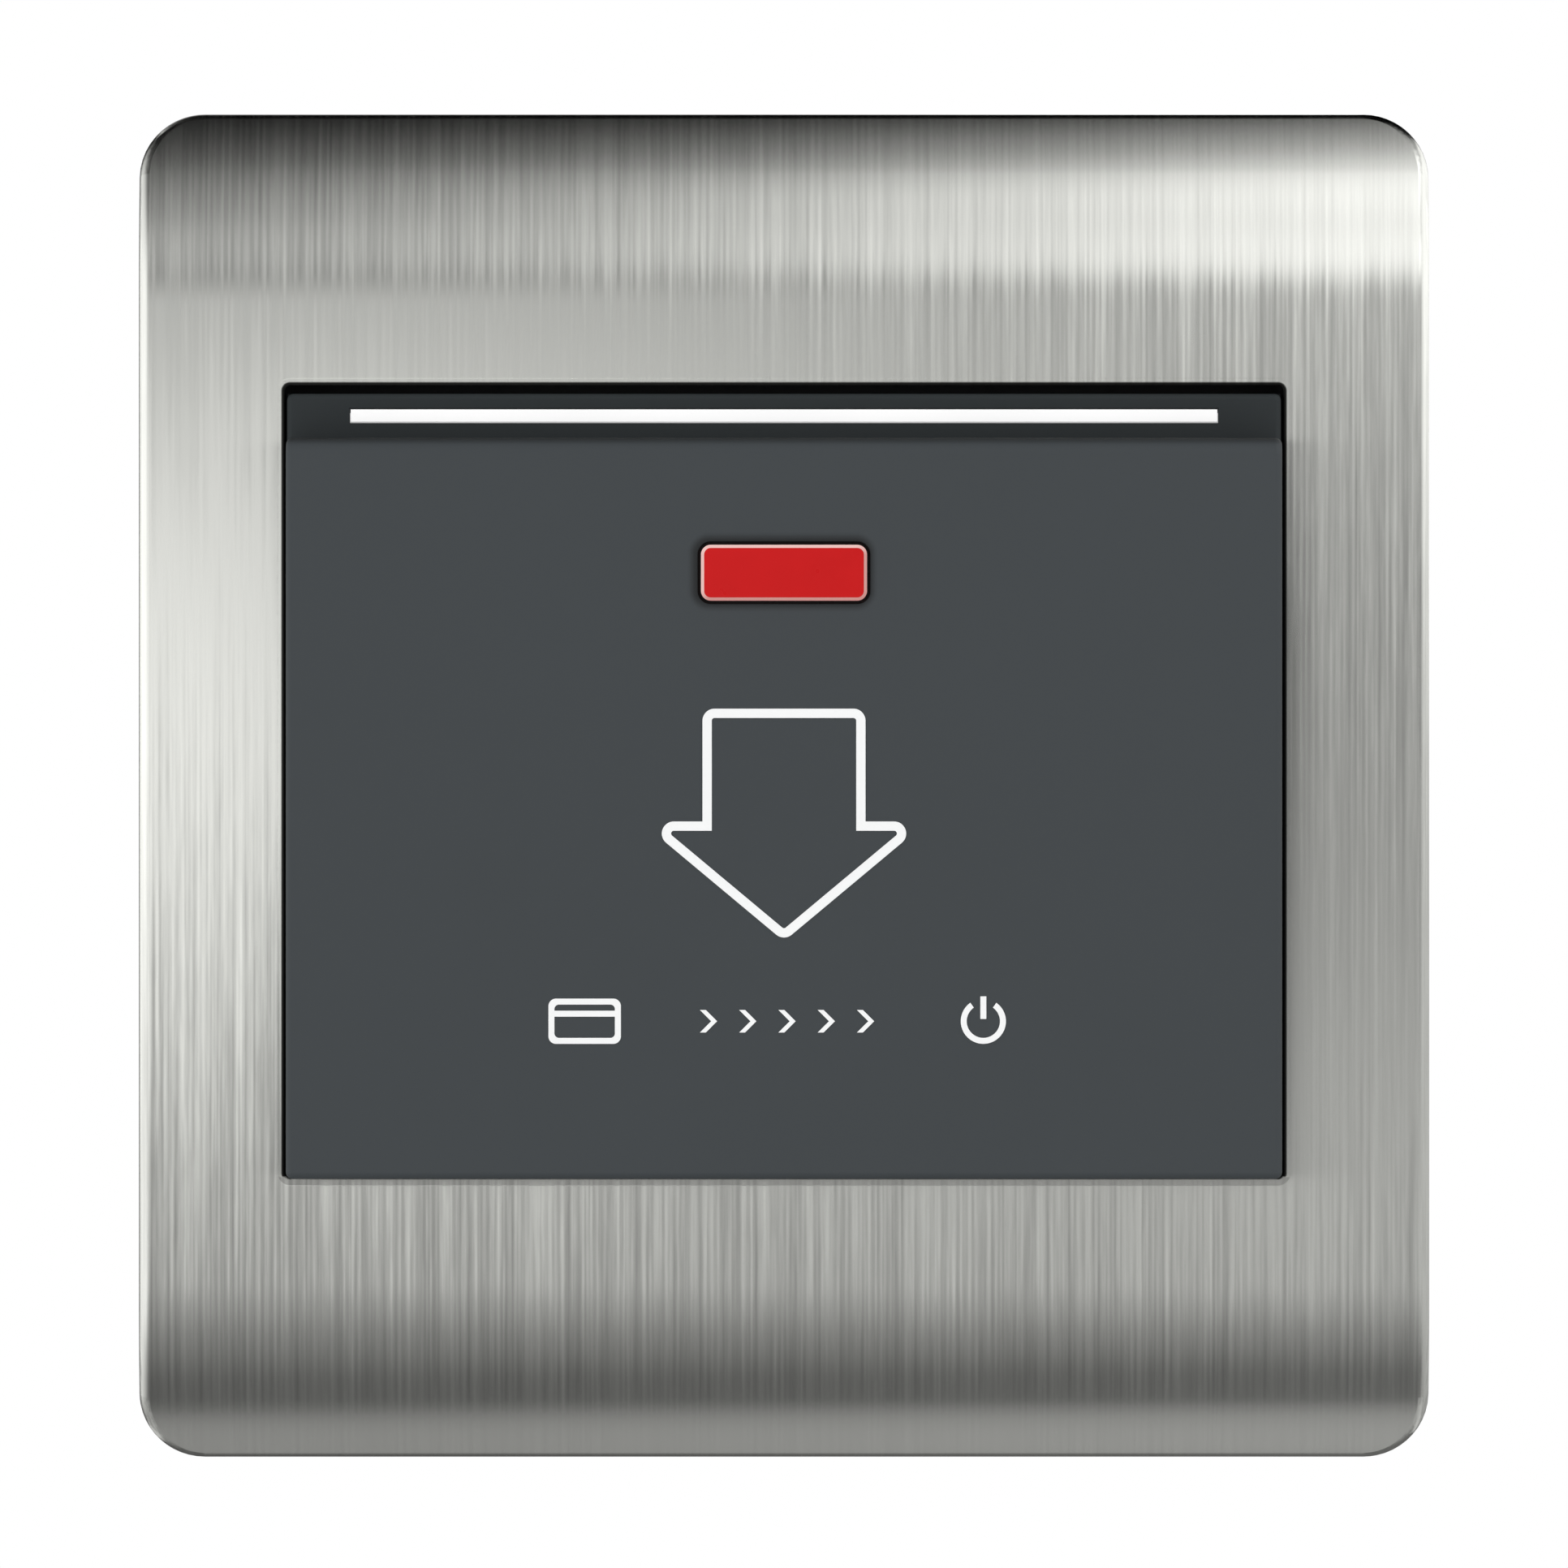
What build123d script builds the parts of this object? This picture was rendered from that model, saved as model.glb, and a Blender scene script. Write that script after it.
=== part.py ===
from build123d import *
import math
import os

# Hotel key card switch, in millimetres, with +Z up and the front towards -Y.
# The wall is the plane Y = 0, and the origin lies midway between the two fixing screws.
# Depths are measured forwards from the wall, so what lies behind the wall has a negative depth.

# Clearances
snap_gap = 0.15
slide_gap = 0.3
running_gap = 0.05
inlay_gap = 0.02
overrun = 1.0

# Steel face trim
plate_width = 86.0
plate_height = 89.7
plate_depth = 8.5
plate_corner_radius = 4.3
plate_edge_radius = 0.7
plate_wall_gap = 0.3
trim_wall = 0.8
roll_top_height = 11.05
roll_bottom_height = 10.05
roll_drop = 3.5
window_side_gap = 0.25
window_top_gap = 0.65
window_bottom_gap = 0.15
window_corner_radius = 0.45
window_edge_radius = 0.4
window_flange_depth = 2.6

# Plastic backing behind the steel
backing_wall = 1.6
backing_leg_width = 5.0
backing_leg_wall = 1.4
backing_leg_x = 20.0
backing_leg_inset = 3.4

# Mounting carrier
carrier_wall = 2.5
carrier_corner_radius = 2.0
carrier_recess_depth = 0.5
carrier_pad = 5.2
carrier_boss_radius = 2.2
snap_slot_margin = 0.2
hook_reach = 0.7
hook_height = 0.9
hook_wall_gap = 0.3

# Fixing screws for the wall box
fixing_spacing = 60.3
fixing_thread_radius = 1.75
fixing_neck_radius = 1.5
fixing_hole_radius = 2.0
fixing_head_radius = 3.0
fixing_head_height = 2.2
fixing_reach = 22.0
drive_width = 0.8
drive_depth = 1.1

# Rear housing and its screws
housing_wall = 1.6
housing_floor_gap = 1.0
housing_corner_radius = 2.0
post_size = 4.6
post_inset = 4.0
post_terminal_gap = 1.7
housing_screw_radius = 1.25
housing_screw_head_radius = 2.2
housing_screw_head_height = 1.5
housing_screw_length = 16.0
screw_hole_gap = 0.15

# Control board and what it carries
board_side_gap = 0.4
board_wall = 1.6
board_setback = 6.8
relay_width = 19.0
relay_height = 15.5
relay_depth = 12.8
relay_side_gap = 2.9
relay_terminal_gap = 3.25
film_width = 13.0
film_height = 5.0
film_depth = 11.0
film_relay_gap = 4.5
film_terminal_gap = 3.0
electrolytic_radius = 4.0
electrolytic_depth = 11.5
electrolytic_film_gap = 5.0
chip_width = 5.0
chip_height = 4.0
chip_depth = 1.6
chip_side_inset = 9.0
chip_top_inset = 11.0
resistor_width = 3.2
resistor_height = 1.6
resistor_depth = 0.7
resistor_pitch = 2.6
resistor_count = 4
resistor_side_inset = 8.0
resistor_relay_gap = 1.65

# Card cassette, the back wall of the pocket
cassette_screw_cover = 2.95
cassette_top = 26.1
cassette_bottom = -26.1
cassette_wall = 1.5
cassette_skirt_wall = 1.2
cassette_leg_inset = 3.5
cassette_leg_z = 17.0
cassette_leg_width = 4.0
cassette_leg_wall = 1.2
cassette_edge_radius = 0.4
screw_notch_margin = 0.8

# Front cover of the pocket
pocket_gap = 4.6
cover_side_margin = 0.1
cover_bottom_margin = 0.05
cassette_band_height = 3.05
cover_wall = 1.8
cover_side_wall = 1.5
cover_lip_radius = 1.1
cover_edge_radius = 0.45
cover_lead_in = 0.6
card_width = 54.0
card_side_gap = 0.2
rib_wall = 1.2
rib_top = 18.0
card_stop = -19.5
ledge_wall = 1.2
tab_height = 6.0
tab_z_upper = 6.0
tab_z_lower = -8.0
tab_reach = 0.9
tab_hook = 0.5

# Light strip and the board behind it
strip_side_margin = 4.25
strip_height = 0.82
strip_drop = 1.46
strip_gap = 0.08
strip_flange_side = 0.8
strip_flange_drop = 1.6
strip_flange_wall = 0.8
strip_board_side = 0.75
strip_board_edge = 1.2
strip_board_wall = 1.0
strip_board_gap = 0.5
strip_led_width = 3.2
strip_led_height = 1.4
strip_led_depth = 1.0
strip_led_gap = 0.2
strip_led_pitch = 14.0
strip_led_count = 4
strip_post_radius = 1.3
strip_post_inset = 2.85
strip_pin_radius = 0.6
header_pitch = 2.54
header_pin_size = 0.64
header_inset = 1.4
header_drop = 4.5

# Red indicator: lens, light guide and lamp
lens_width = 11.0
lens_height = 3.7
lens_corner_radius = 0.65
lens_z = 14.1
lens_proud = 0.35
lens_chamfer = 0.23
lens_gap = 0.22
lens_flange = 1.0
lens_flange_wall = 0.6
guide_width = 8.8
guide_height = 2.6
guide_flange = 0.8
guide_flange_wall = 0.8
lamp_width = 3.5
lamp_height = 2.8
lamp_depth = 1.9
lamp_gap = 0.3

# Arrow and pictograms laid into the cover
inlay_depth = 0.3
inlay_proud = 0.05
arrow_stroke = 0.62
arrow_corner_radius = 0.8
arrow_shaft_half = 5.4
arrow_head_half = 9.5
arrow_top = 5.1
arrow_shoulder = -2.37
arrow_tip = -10.3
sign_z = -15.6
sign_stroke = 0.4
sign_height = 3.0
sign_card_width = 4.8
sign_card_x = -13.2
sign_card_radius = 0.5
sign_chevron_pitch = 2.6
sign_chevron_count = 5
sign_power_x = 13.2
sign_gap_angle = 70.0

# Card actuator, its finger and its spring
actuator_travel = 3.0
head_half_width = 6.5
head_top = -16.5
head_height = 3.5
head_edge_radius = 0.5
stem_half_width = 1.6
stem_drop = 0.5
mast_half_width = 2.2
mast_wall = 1.0
finger_z = -7.0
finger_radius = 1.5
finger_reach = 5.0
foot_top = -10.8
foot_wall = 1.2
foot_half_width = 1.8
spring_radius = 1.3
spring_wire_radius = 0.2
spring_turns = 6.5
spring_seat = -23.5
spring_seat_wall = 1.2
spring_seat_half_width = 2.4
spring_post_radius = 0.85
spring_post_height = 1.4

# Microswitch
switch_width = 19.8
switch_height = 10.0
switch_depth = 6.4
switch_edge_radius = 0.4
lever_arm = 13.0
lever_angle = 13.0
lever_pressed_angle = 0.2
lever_length = 16.0
lever_wall = 0.3
lever_width = 4.2
lever_contact_gap = 0.1
pivot_radius = 0.5
pivot_curl_radius = 0.7
pivot_height = 0.9
pivot_end_gap = 1.6
ear_half_width = 1.1
ear_wall = 0.9
plunger_radius = 0.8
plunger_shank = 2.5
plunger_offset = 4.5
switch_pin_size = 0.6
switch_pin_pitch = 7.0
switch_pin_count = 3
pin_tip_gap = 0.1

# Terminals
terminal_count = 4
terminal_pitch = 8.0
terminal_end_margin = 1.0
terminal_block_height = 10.2
terminal_block_gap = 0.2
clamp_end_gap = 1.2
terminal_floor = 1.0
terminal_end_wall = 1.0
terminal_top_wall = 1.2
terminal_back_gap = 0.1
clamp_width = 6.0
clamp_length = 6.0
clamp_wall = 0.9
clamp_thread_wall = 1.6
clamp_travel = 3.0
wire_gap = 3.2
bar_wall = 1.0
bar_width = 3.0
bar_tail_width = 1.0
terminal_screw_radius = 1.75
terminal_head_radius = 2.5
terminal_head_height = 1.6
terminal_driver_radius = 2.1
wire_window_width = 3.8

# Heights and depths that several pieces share
strip_board_back = carrier_wall + housing_screw_head_height + strip_board_gap
strip_board_front = strip_board_back + strip_board_wall
cassette_back = strip_board_front + strip_led_depth + strip_led_gap + strip_flange_wall
cassette_depth = cassette_back + cassette_wall
pocket_front = cassette_depth + pocket_gap
cover_depth = pocket_front + cover_wall
cassette_width = fixing_spacing + 2 * cassette_screw_cover
cover_width = cassette_width - 2 * cover_side_margin
cover_top = cassette_top - cassette_band_height
cover_bottom = cassette_bottom + cover_bottom_margin
window_width = cassette_width + 2 * window_side_gap
window_top = cassette_top + window_top_gap
window_bottom = cassette_bottom - window_bottom_gap
window_height = window_top - window_bottom
window_centre_height = (window_top + window_bottom) / 2
carrier_half_width = plate_width / 2 - trim_wall - backing_wall - 2 * snap_gap
carrier_half_height = plate_height / 2 - trim_wall - backing_wall - 2 * snap_gap
terminal_block_width = terminal_count * terminal_pitch + 2 * terminal_end_margin
post_centre = terminal_block_width / 2 + post_terminal_gap + post_size / 2
housing_size = 2 * (post_centre + post_inset)
recess_half = housing_size / 2 + 2 * backing_wall
cavity_half = housing_size / 2 - housing_wall
board_size = 2 * (cavity_half - board_side_gap)
header_z = min(board_size / 2 - header_inset, cassette_top - header_drop)
backing_leg_z = carrier_half_height - backing_leg_inset
cassette_leg_x = cassette_width / 2 - cassette_leg_inset
strip_width = cassette_width - 2 * strip_side_margin
strip_z = cassette_top - strip_drop
strip_board_width = strip_width + 2 * strip_board_side
strip_board_bottom = header_z - strip_board_edge
strip_post_x = strip_width / 2 - strip_post_inset
terminal_block_bottom = terminal_block_gap - cavity_half
terminal_block_top = terminal_block_bottom + terminal_block_height
terminal_z = terminal_block_bottom + terminal_end_wall + clamp_end_gap + clamp_length / 2
relay_x = relay_side_gap + relay_width / 2 - cavity_half
relay_z = terminal_block_top + relay_terminal_gap + relay_height / 2
film_x = relay_x + relay_width / 2 + film_relay_gap + film_width / 2
film_z = terminal_block_top + film_terminal_gap + film_height / 2
electrolytic_x = film_x - film_width / 2 + electrolytic_radius
electrolytic_z = film_z + film_height / 2 + electrolytic_film_gap + electrolytic_radius
chip_x = board_size / 2 - chip_side_inset
chip_z = board_size / 2 - chip_top_inset
resistor_x = resistor_side_inset - board_size / 2
resistor_z = relay_z + relay_height / 2 + resistor_relay_gap + resistor_width / 2
board_front = -board_setback
board_back = board_front - board_wall
flange_outer = trim_wall + snap_gap
rib_inner = card_width / 2 + card_side_gap
rib_outer = rib_inner + rib_wall
pivot_x = -lever_arm
pivot_rise = finger_radius + lever_contact_gap + lever_wall / 2
pivot_rise_at_rest = (
    pivot_rise + lever_arm * math.sin(math.radians(lever_angle))
) / math.cos(math.radians(lever_angle))
pivot_z = finger_z - pivot_rise_at_rest
switch_top = pivot_z - pivot_height
switch_left = pivot_x - pivot_end_gap
switch_centre_depth = board_front + switch_depth / 2
clamp_floor = board_back - terminal_floor - running_gap
bar_face = clamp_floor - clamp_wall - wire_gap
clamp_inner_back = bar_face - bar_wall - terminal_back_gap - clamp_wall / 2
clamp_end = clamp_inner_back - clamp_thread_wall
screw_tip = bar_face - bar_wall - terminal_back_gap
head_underside = clamp_end - clamp_travel - terminal_back_gap
parts_end = board_back - max(relay_depth, film_depth, electrolytic_depth)
housing_floor = min(parts_end, head_underside - terminal_head_height) - housing_floor_gap
housing_depth = housing_wall - housing_floor


def block(left, right, back, front, bottom, top):
    # A box between two places across, two depths and two heights
    size = Box(right - left, front - back, top - bottom)
    return Pos((left + right) / 2, -(back + front) / 2, (bottom + top) / 2) * size


def slab(outline, back, front):
    # A flat outline, drawn across and upwards, given its thickness between two depths
    return extrude(Plane.XZ.offset(back) * outline, front - back)


def rod(x, z, radius, back, front):
    return slab(Pos(x, z) * Circle(radius), back, front)


def both_sides(piece):
    return piece + mirror(piece, about=Plane.YZ)


def row_of(count, pitch):
    # Places of a centred row
    return [(index - (count - 1) / 2) * pitch for index in range(count)]


def corner_places(half_x, half_z):
    return [(x, z) for x in (-half_x, half_x) for z in (-half_z, half_z)]


def window_outline(margin):
    outline = RectangleRounded(
        window_width + 2 * margin,
        window_height + 2 * margin,
        window_corner_radius + max(margin, 0),
    )
    return Pos(0, window_centre_height) * outline


def roll_arc(radius, reach, start, crest, side):
    # From the flat crest back round the rolled end, above for side 1 and below for side -1
    angle = math.asin((reach + overrun) / radius)
    points = []
    for share in (0, 0.5, 1):
        turned = angle * share
        depth = crest - radius * (1 - math.cos(turned))
        points.append((-depth, side * (start + radius * math.sin(turned))))
    return ThreePointArc(*points)


def roll_radius(height):
    return (height**2 + roll_drop**2) / (2 * roll_drop)


def plate_form(inset):
    # The plate's outer form, drawn in alike from every face
    crest = plate_depth - inset
    top_start = plate_height / 2 - roll_top_height
    bottom_start = plate_height / 2 - roll_bottom_height
    top = roll_arc(
        roll_radius(roll_top_height) - inset, roll_top_height - inset, top_start, crest, 1
    )
    bottom = roll_arc(
        roll_radius(roll_bottom_height) - inset,
        roll_bottom_height - inset,
        bottom_start,
        crest,
        -1,
    )
    half_height = plate_height / 2 - inset
    rear = Polyline(
        top @ 1,
        (-plate_wall_gap, half_height + overrun),
        (-plate_wall_gap, -half_height - overrun),
        bottom @ 1,
    )
    profile = make_face(top + rear + bottom + Line(bottom @ 0, top @ 0))
    rolled = extrude(Plane.YZ * profile, plate_width / 2 + overrun, both=True)
    outline = RectangleRounded(
        plate_width - 2 * inset, 2 * half_height, plate_corner_radius - inset
    )
    return rolled & slab(outline, 0, plate_depth + overrun)


def face_trim():
    form = plate_form(0)
    rolled_depth = plate_depth - roll_drop
    tolerance = plate_edge_radius / 10
    rim = []
    for edge in form.edges():
        box = edge.bounding_box()
        forward = box.max.Y < tolerance - rolled_depth
        seam = box.size.Z < tolerance and box.max.Z < plate_height / 2 - tolerance
        seam = seam and box.min.Z > tolerance - plate_height / 2
        if forward and not seam:
            rim.append(edge)
    form = fillet(rim, plate_edge_radius)
    shell = form - plate_form(trim_wall)
    # The inner form stops short of the wall, so the open back is cut clear
    open_back = RectangleRounded(
        plate_width - 2 * trim_wall,
        plate_height - 2 * trim_wall,
        plate_corner_radius - trim_wall,
    )
    shell -= slab(open_back, 0, plate_wall_gap + trim_wall)
    flange = slab(window_outline(trim_wall), plate_depth - window_flange_depth, plate_depth - trim_wall)
    shell = shell + flange
    shell -= slab(window_outline(0), 0, plate_depth + overrun)
    mouth = shell.edges().filter_by(
        lambda edge: abs(edge.center().Y + plate_depth) < tolerance
        and abs(edge.center().X) < window_width / 2 + tolerance
        and abs(edge.center().Z - window_centre_height) < window_height / 2 + tolerance
    )
    return fillet(mouth, window_edge_radius)


def snap_leg(width, wall, front):
    # A leg along Y through the carrier, with a hook at its end that faces +X
    leg = block(-wall / 2, wall / 2, hook_wall_gap, front, -width / 2, width / 2)
    hook_end = wall / 2 + hook_reach
    hook_front = hook_wall_gap + hook_height
    return leg + block(wall / 2, hook_end, hook_wall_gap, hook_front, -width / 2, width / 2)


def snap_slot(width, wall):
    # The slot for such a leg: narrow in front, wider behind for the hook
    half = width / 2 + snap_slot_margin
    side = wall / 2 + snap_slot_margin
    shoulder = hook_wall_gap + hook_height + running_gap
    narrow = block(-side, side, -overrun, carrier_wall + overrun, -half, half)
    return narrow + block(0, side + hook_reach, -overrun, shoulder, -half, half)


def backing_leg_places():
    # Above and below the window, with the hooks facing outwards
    places = []
    for x, z in corner_places(backing_leg_x, backing_leg_z):
        places.append(Pos(x, 0, z) * Rot(Y=math.copysign(90, -z)))
    return places


def cassette_leg_places():
    # At the cassette's two sides, with the hooks facing outwards
    places = []
    for x, z in corner_places(cassette_leg_x, cassette_leg_z):
        places.append(Pos(x, 0, z) * Rot(Y=90 - math.copysign(90, x)))
    return places


def trim_backing():
    inset = trim_wall + snap_gap
    shell = plate_form(inset) - plate_form(inset + backing_wall)
    open_back = RectangleRounded(
        plate_width - 2 * (inset + backing_wall),
        plate_height - 2 * (inset + backing_wall),
        plate_corner_radius - inset - backing_wall,
    )
    inner_front = plate_depth - inset - backing_wall
    shell -= slab(open_back, 0, plate_wall_gap + backing_wall)
    collar = slab(window_outline(flange_outer + backing_wall), carrier_wall, inner_front + backing_wall / 2)
    shell += collar & plate_form(inset)
    shell -= slab(window_outline(flange_outer), 0, plate_depth)
    for place in backing_leg_places():
        leg = place * snap_leg(backing_leg_width, backing_leg_wall, plate_depth)
        shell += leg & plate_form(inset + backing_wall / 2)
    return shell


def mounting_carrier():
    outline = RectangleRounded(2 * carrier_half_width, 2 * carrier_half_height, carrier_corner_radius)
    plate = slab(outline, 0, carrier_wall)
    plate -= block(-recess_half, recess_half, -overrun, carrier_recess_depth, -recess_half, recess_half)
    plate -= block(-cavity_half, cavity_half, -overrun, carrier_wall + overrun, -cavity_half, cavity_half)
    for x, z in corner_places(post_centre, post_centre):
        pad = block(
            x - carrier_pad / 2,
            x + carrier_pad / 2,
            carrier_recess_depth,
            carrier_wall,
            z - carrier_pad / 2,
            z + carrier_pad / 2,
        )
        plate += pad
        plate += rod(x, z, carrier_boss_radius, board_front, carrier_wall)
        hole = housing_screw_radius + screw_hole_gap
        plate -= rod(x, z, hole, board_front - overrun, carrier_wall + overrun)
    for x in (-fixing_spacing / 2, fixing_spacing / 2):
        plate -= rod(x, 0, fixing_hole_radius, -overrun, carrier_wall + overrun)
    for place in backing_leg_places():
        plate -= place * snap_slot(backing_leg_width, backing_leg_wall)
    for place in cassette_leg_places():
        plate -= place * snap_slot(cassette_leg_width, cassette_leg_wall)
    return plate


def cross_drive(x, z, radius, front):
    # A cross recess in a screw head that faces the front
    arm = 2 * radius * 0.6
    across = Rectangle(arm, drive_width) + Rectangle(drive_width, arm)
    return slab(Pos(x, z) * across, front - drive_depth, front + overrun)


def fixing_screws():
    screws = Part()
    for x in (-fixing_spacing / 2, fixing_spacing / 2):
        front = carrier_wall + fixing_head_height
        head = rod(x, 0, fixing_head_radius, carrier_wall, front)
        rim = head.edges().filter_by(GeomType.CIRCLE).sort_by(Axis.Y)[0]
        head = fillet(rim, fixing_head_height / 3)
        head -= cross_drive(x, 0, fixing_head_radius, front)
        neck = rod(x, 0, fixing_neck_radius, -hook_wall_gap, carrier_wall)
        thread = rod(x, 0, fixing_thread_radius, -fixing_reach, -hook_wall_gap)
        screws += head + neck + thread
    return screws


def housing_screws():
    screws = Part()
    for x, z in corner_places(post_centre, post_centre):
        front = carrier_wall + housing_screw_head_height
        head = rod(x, z, housing_screw_head_radius, carrier_wall, front)
        rim = head.edges().filter_by(GeomType.CIRCLE).sort_by(Axis.Y)[0]
        head = fillet(rim, housing_screw_head_height / 3)
        head -= cross_drive(x, z, housing_screw_head_radius, front)
        shank = rod(x, z, housing_screw_radius, carrier_wall - housing_screw_length, carrier_wall)
        screws += head + shank
    return screws


def rear_housing():
    outline = RectangleRounded(housing_size, housing_size, housing_corner_radius)
    shell = slab(outline, -housing_depth, carrier_recess_depth)
    inside = block(
        -cavity_half, cavity_half, housing_floor, carrier_recess_depth + overrun, -cavity_half, cavity_half
    )
    shell -= inside
    for x, z in corner_places(post_centre, post_centre):
        half = post_size / 2
        post = block(x - half, x + half, housing_floor - housing_wall / 2, board_back, z - half, z + half)
        pilot_end = carrier_wall - housing_screw_length - overrun
        pilot = rod(x, z, housing_screw_radius + running_gap, pilot_end, board_back + overrun)
        shell += post
        shell -= pilot
    for x in row_of(terminal_count, terminal_pitch):
        shell -= rod(x, terminal_z, terminal_driver_radius, -housing_depth - overrun, housing_floor + overrun)
        half = wire_window_width / 2
        shell -= block(
            x - half,
            x + half,
            bar_face,
            bar_face + wire_gap,
            -housing_size / 2 - overrun,
            overrun - cavity_half,
        )
    return shell


def control_board():
    half = board_size / 2
    board = block(-half, half, board_back, board_front, -half, half)
    hole = housing_screw_radius + screw_hole_gap
    for x, z in corner_places(post_centre, post_centre):
        board -= rod(x, z, hole, board_back - overrun, board_front + overrun)
    for x in row_of(switch_pin_count, switch_pin_pitch):
        place = switch_left + switch_width / 2 + x
        z = switch_top - switch_height / 2
        board -= rod(place, z, switch_pin_size, board_back - overrun, board_front + overrun)
    for x in row_of(2, header_pitch):
        board -= rod(x, header_z, header_pin_size, board_back - overrun, board_front + overrun)
    for x in row_of(terminal_count, terminal_pitch):
        z = terminal_block_top + running_gap + bar_wall / 2
        board -= rod(x, z, bar_tail_width, board_back - overrun, board_front + overrun)
    return board


def relay():
    return block(
        relay_x - relay_width / 2,
        relay_x + relay_width / 2,
        board_back - relay_depth,
        board_back,
        relay_z - relay_height / 2,
        relay_z + relay_height / 2,
    )


def film_capacitor():
    body = block(
        film_x - film_width / 2,
        film_x + film_width / 2,
        board_back - film_depth,
        board_back,
        film_z - film_height / 2,
        film_z + film_height / 2,
    )
    return fillet(body.edges().filter_by(Axis.Y), film_height / 6)


def smoothing_capacitor():
    can = rod(
        electrolytic_x,
        electrolytic_z,
        electrolytic_radius,
        board_back - electrolytic_depth,
        board_back,
    )
    rims = can.edges().filter_by(GeomType.CIRCLE)
    return fillet(rims, electrolytic_radius / 10)


def board_components():
    # The timing chip and a row of resistors, on the back of the board
    parts = block(
        chip_x - chip_width / 2,
        chip_x + chip_width / 2,
        board_back - chip_depth,
        board_back,
        chip_z - chip_height / 2,
        chip_z + chip_height / 2,
    )
    for x in row_of(resistor_count, resistor_pitch):
        half = resistor_height / 2
        parts += block(
            resistor_x + x - half,
            resistor_x + x + half,
            board_back - resistor_depth,
            board_back,
            resistor_z - resistor_width / 2,
            resistor_z + resistor_width / 2,
        )
    return parts


def card_cassette():
    half = cassette_width / 2
    plate = block(-half, half, cassette_back, cassette_depth, cassette_bottom, cassette_top)
    plate = fillet(plate.edges().filter_by(Axis.Y), window_corner_radius)
    rim = plate.edges().group_by(Axis.Y)[0]
    plate = fillet(rim, cassette_edge_radius)
    skirt = block(-half, half, carrier_wall, cassette_back, cassette_bottom, cassette_top)
    wall = cassette_skirt_wall
    skirt -= block(
        wall - half,
        half - wall,
        carrier_wall - overrun,
        cassette_back + overrun,
        cassette_bottom + wall,
        cassette_top - wall,
    )
    notch = fixing_head_radius + screw_notch_margin
    notch_front = carrier_wall + fixing_head_height + slide_gap
    skirt -= block(-half - overrun, half + overrun, 0, notch_front, -notch, notch)
    cassette = plate + skirt
    for place in cassette_leg_places():
        front = cassette_back + cassette_wall / 2
        cassette += place * snap_leg(cassette_leg_width, cassette_leg_wall, front)
    # The ledge under the spring, with its locating post
    seat = spring_seat_half_width
    seat_back = carrier_wall + snap_gap
    cassette += block(
        -seat, seat, seat_back, cassette_back + cassette_wall / 2, spring_seat - spring_seat_wall, spring_seat
    )
    post = Cylinder(spring_post_radius, spring_post_height)
    cassette += Pos(0, -spring_depth(), spring_seat + spring_post_height / 2) * post
    for x in (-strip_post_x, strip_post_x):
        cassette += rod(x, header_z, strip_post_radius, strip_board_front, cassette_back)
        cassette += rod(x, header_z, strip_pin_radius, strip_board_back, strip_board_front)
    cassette -= slab(strip_outline(strip_gap), 0, cassette_depth + overrun)
    cassette -= slab(guide_outline(snap_gap), 0, cassette_depth + overrun)
    # The slot that the actuator's stem travels in
    stem_bottom = head_top - head_height
    cassette -= block(
        -stem_half_width - slide_gap,
        stem_half_width + slide_gap,
        cassette_back - overrun,
        cassette_depth + overrun,
        stem_bottom - actuator_travel - slide_gap,
        head_top - stem_drop + slide_gap,
    )
    for z in (tab_z_upper, tab_z_lower):
        cassette -= both_sides(
            block(
                rib_inner - snap_gap,
                rib_outer + tab_hook + snap_gap,
                cassette_back - overrun,
                cassette_depth + overrun,
                z - tab_height / 2 - snap_gap,
                z + tab_height / 2 + snap_gap,
            )
        )
    return cassette


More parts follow.
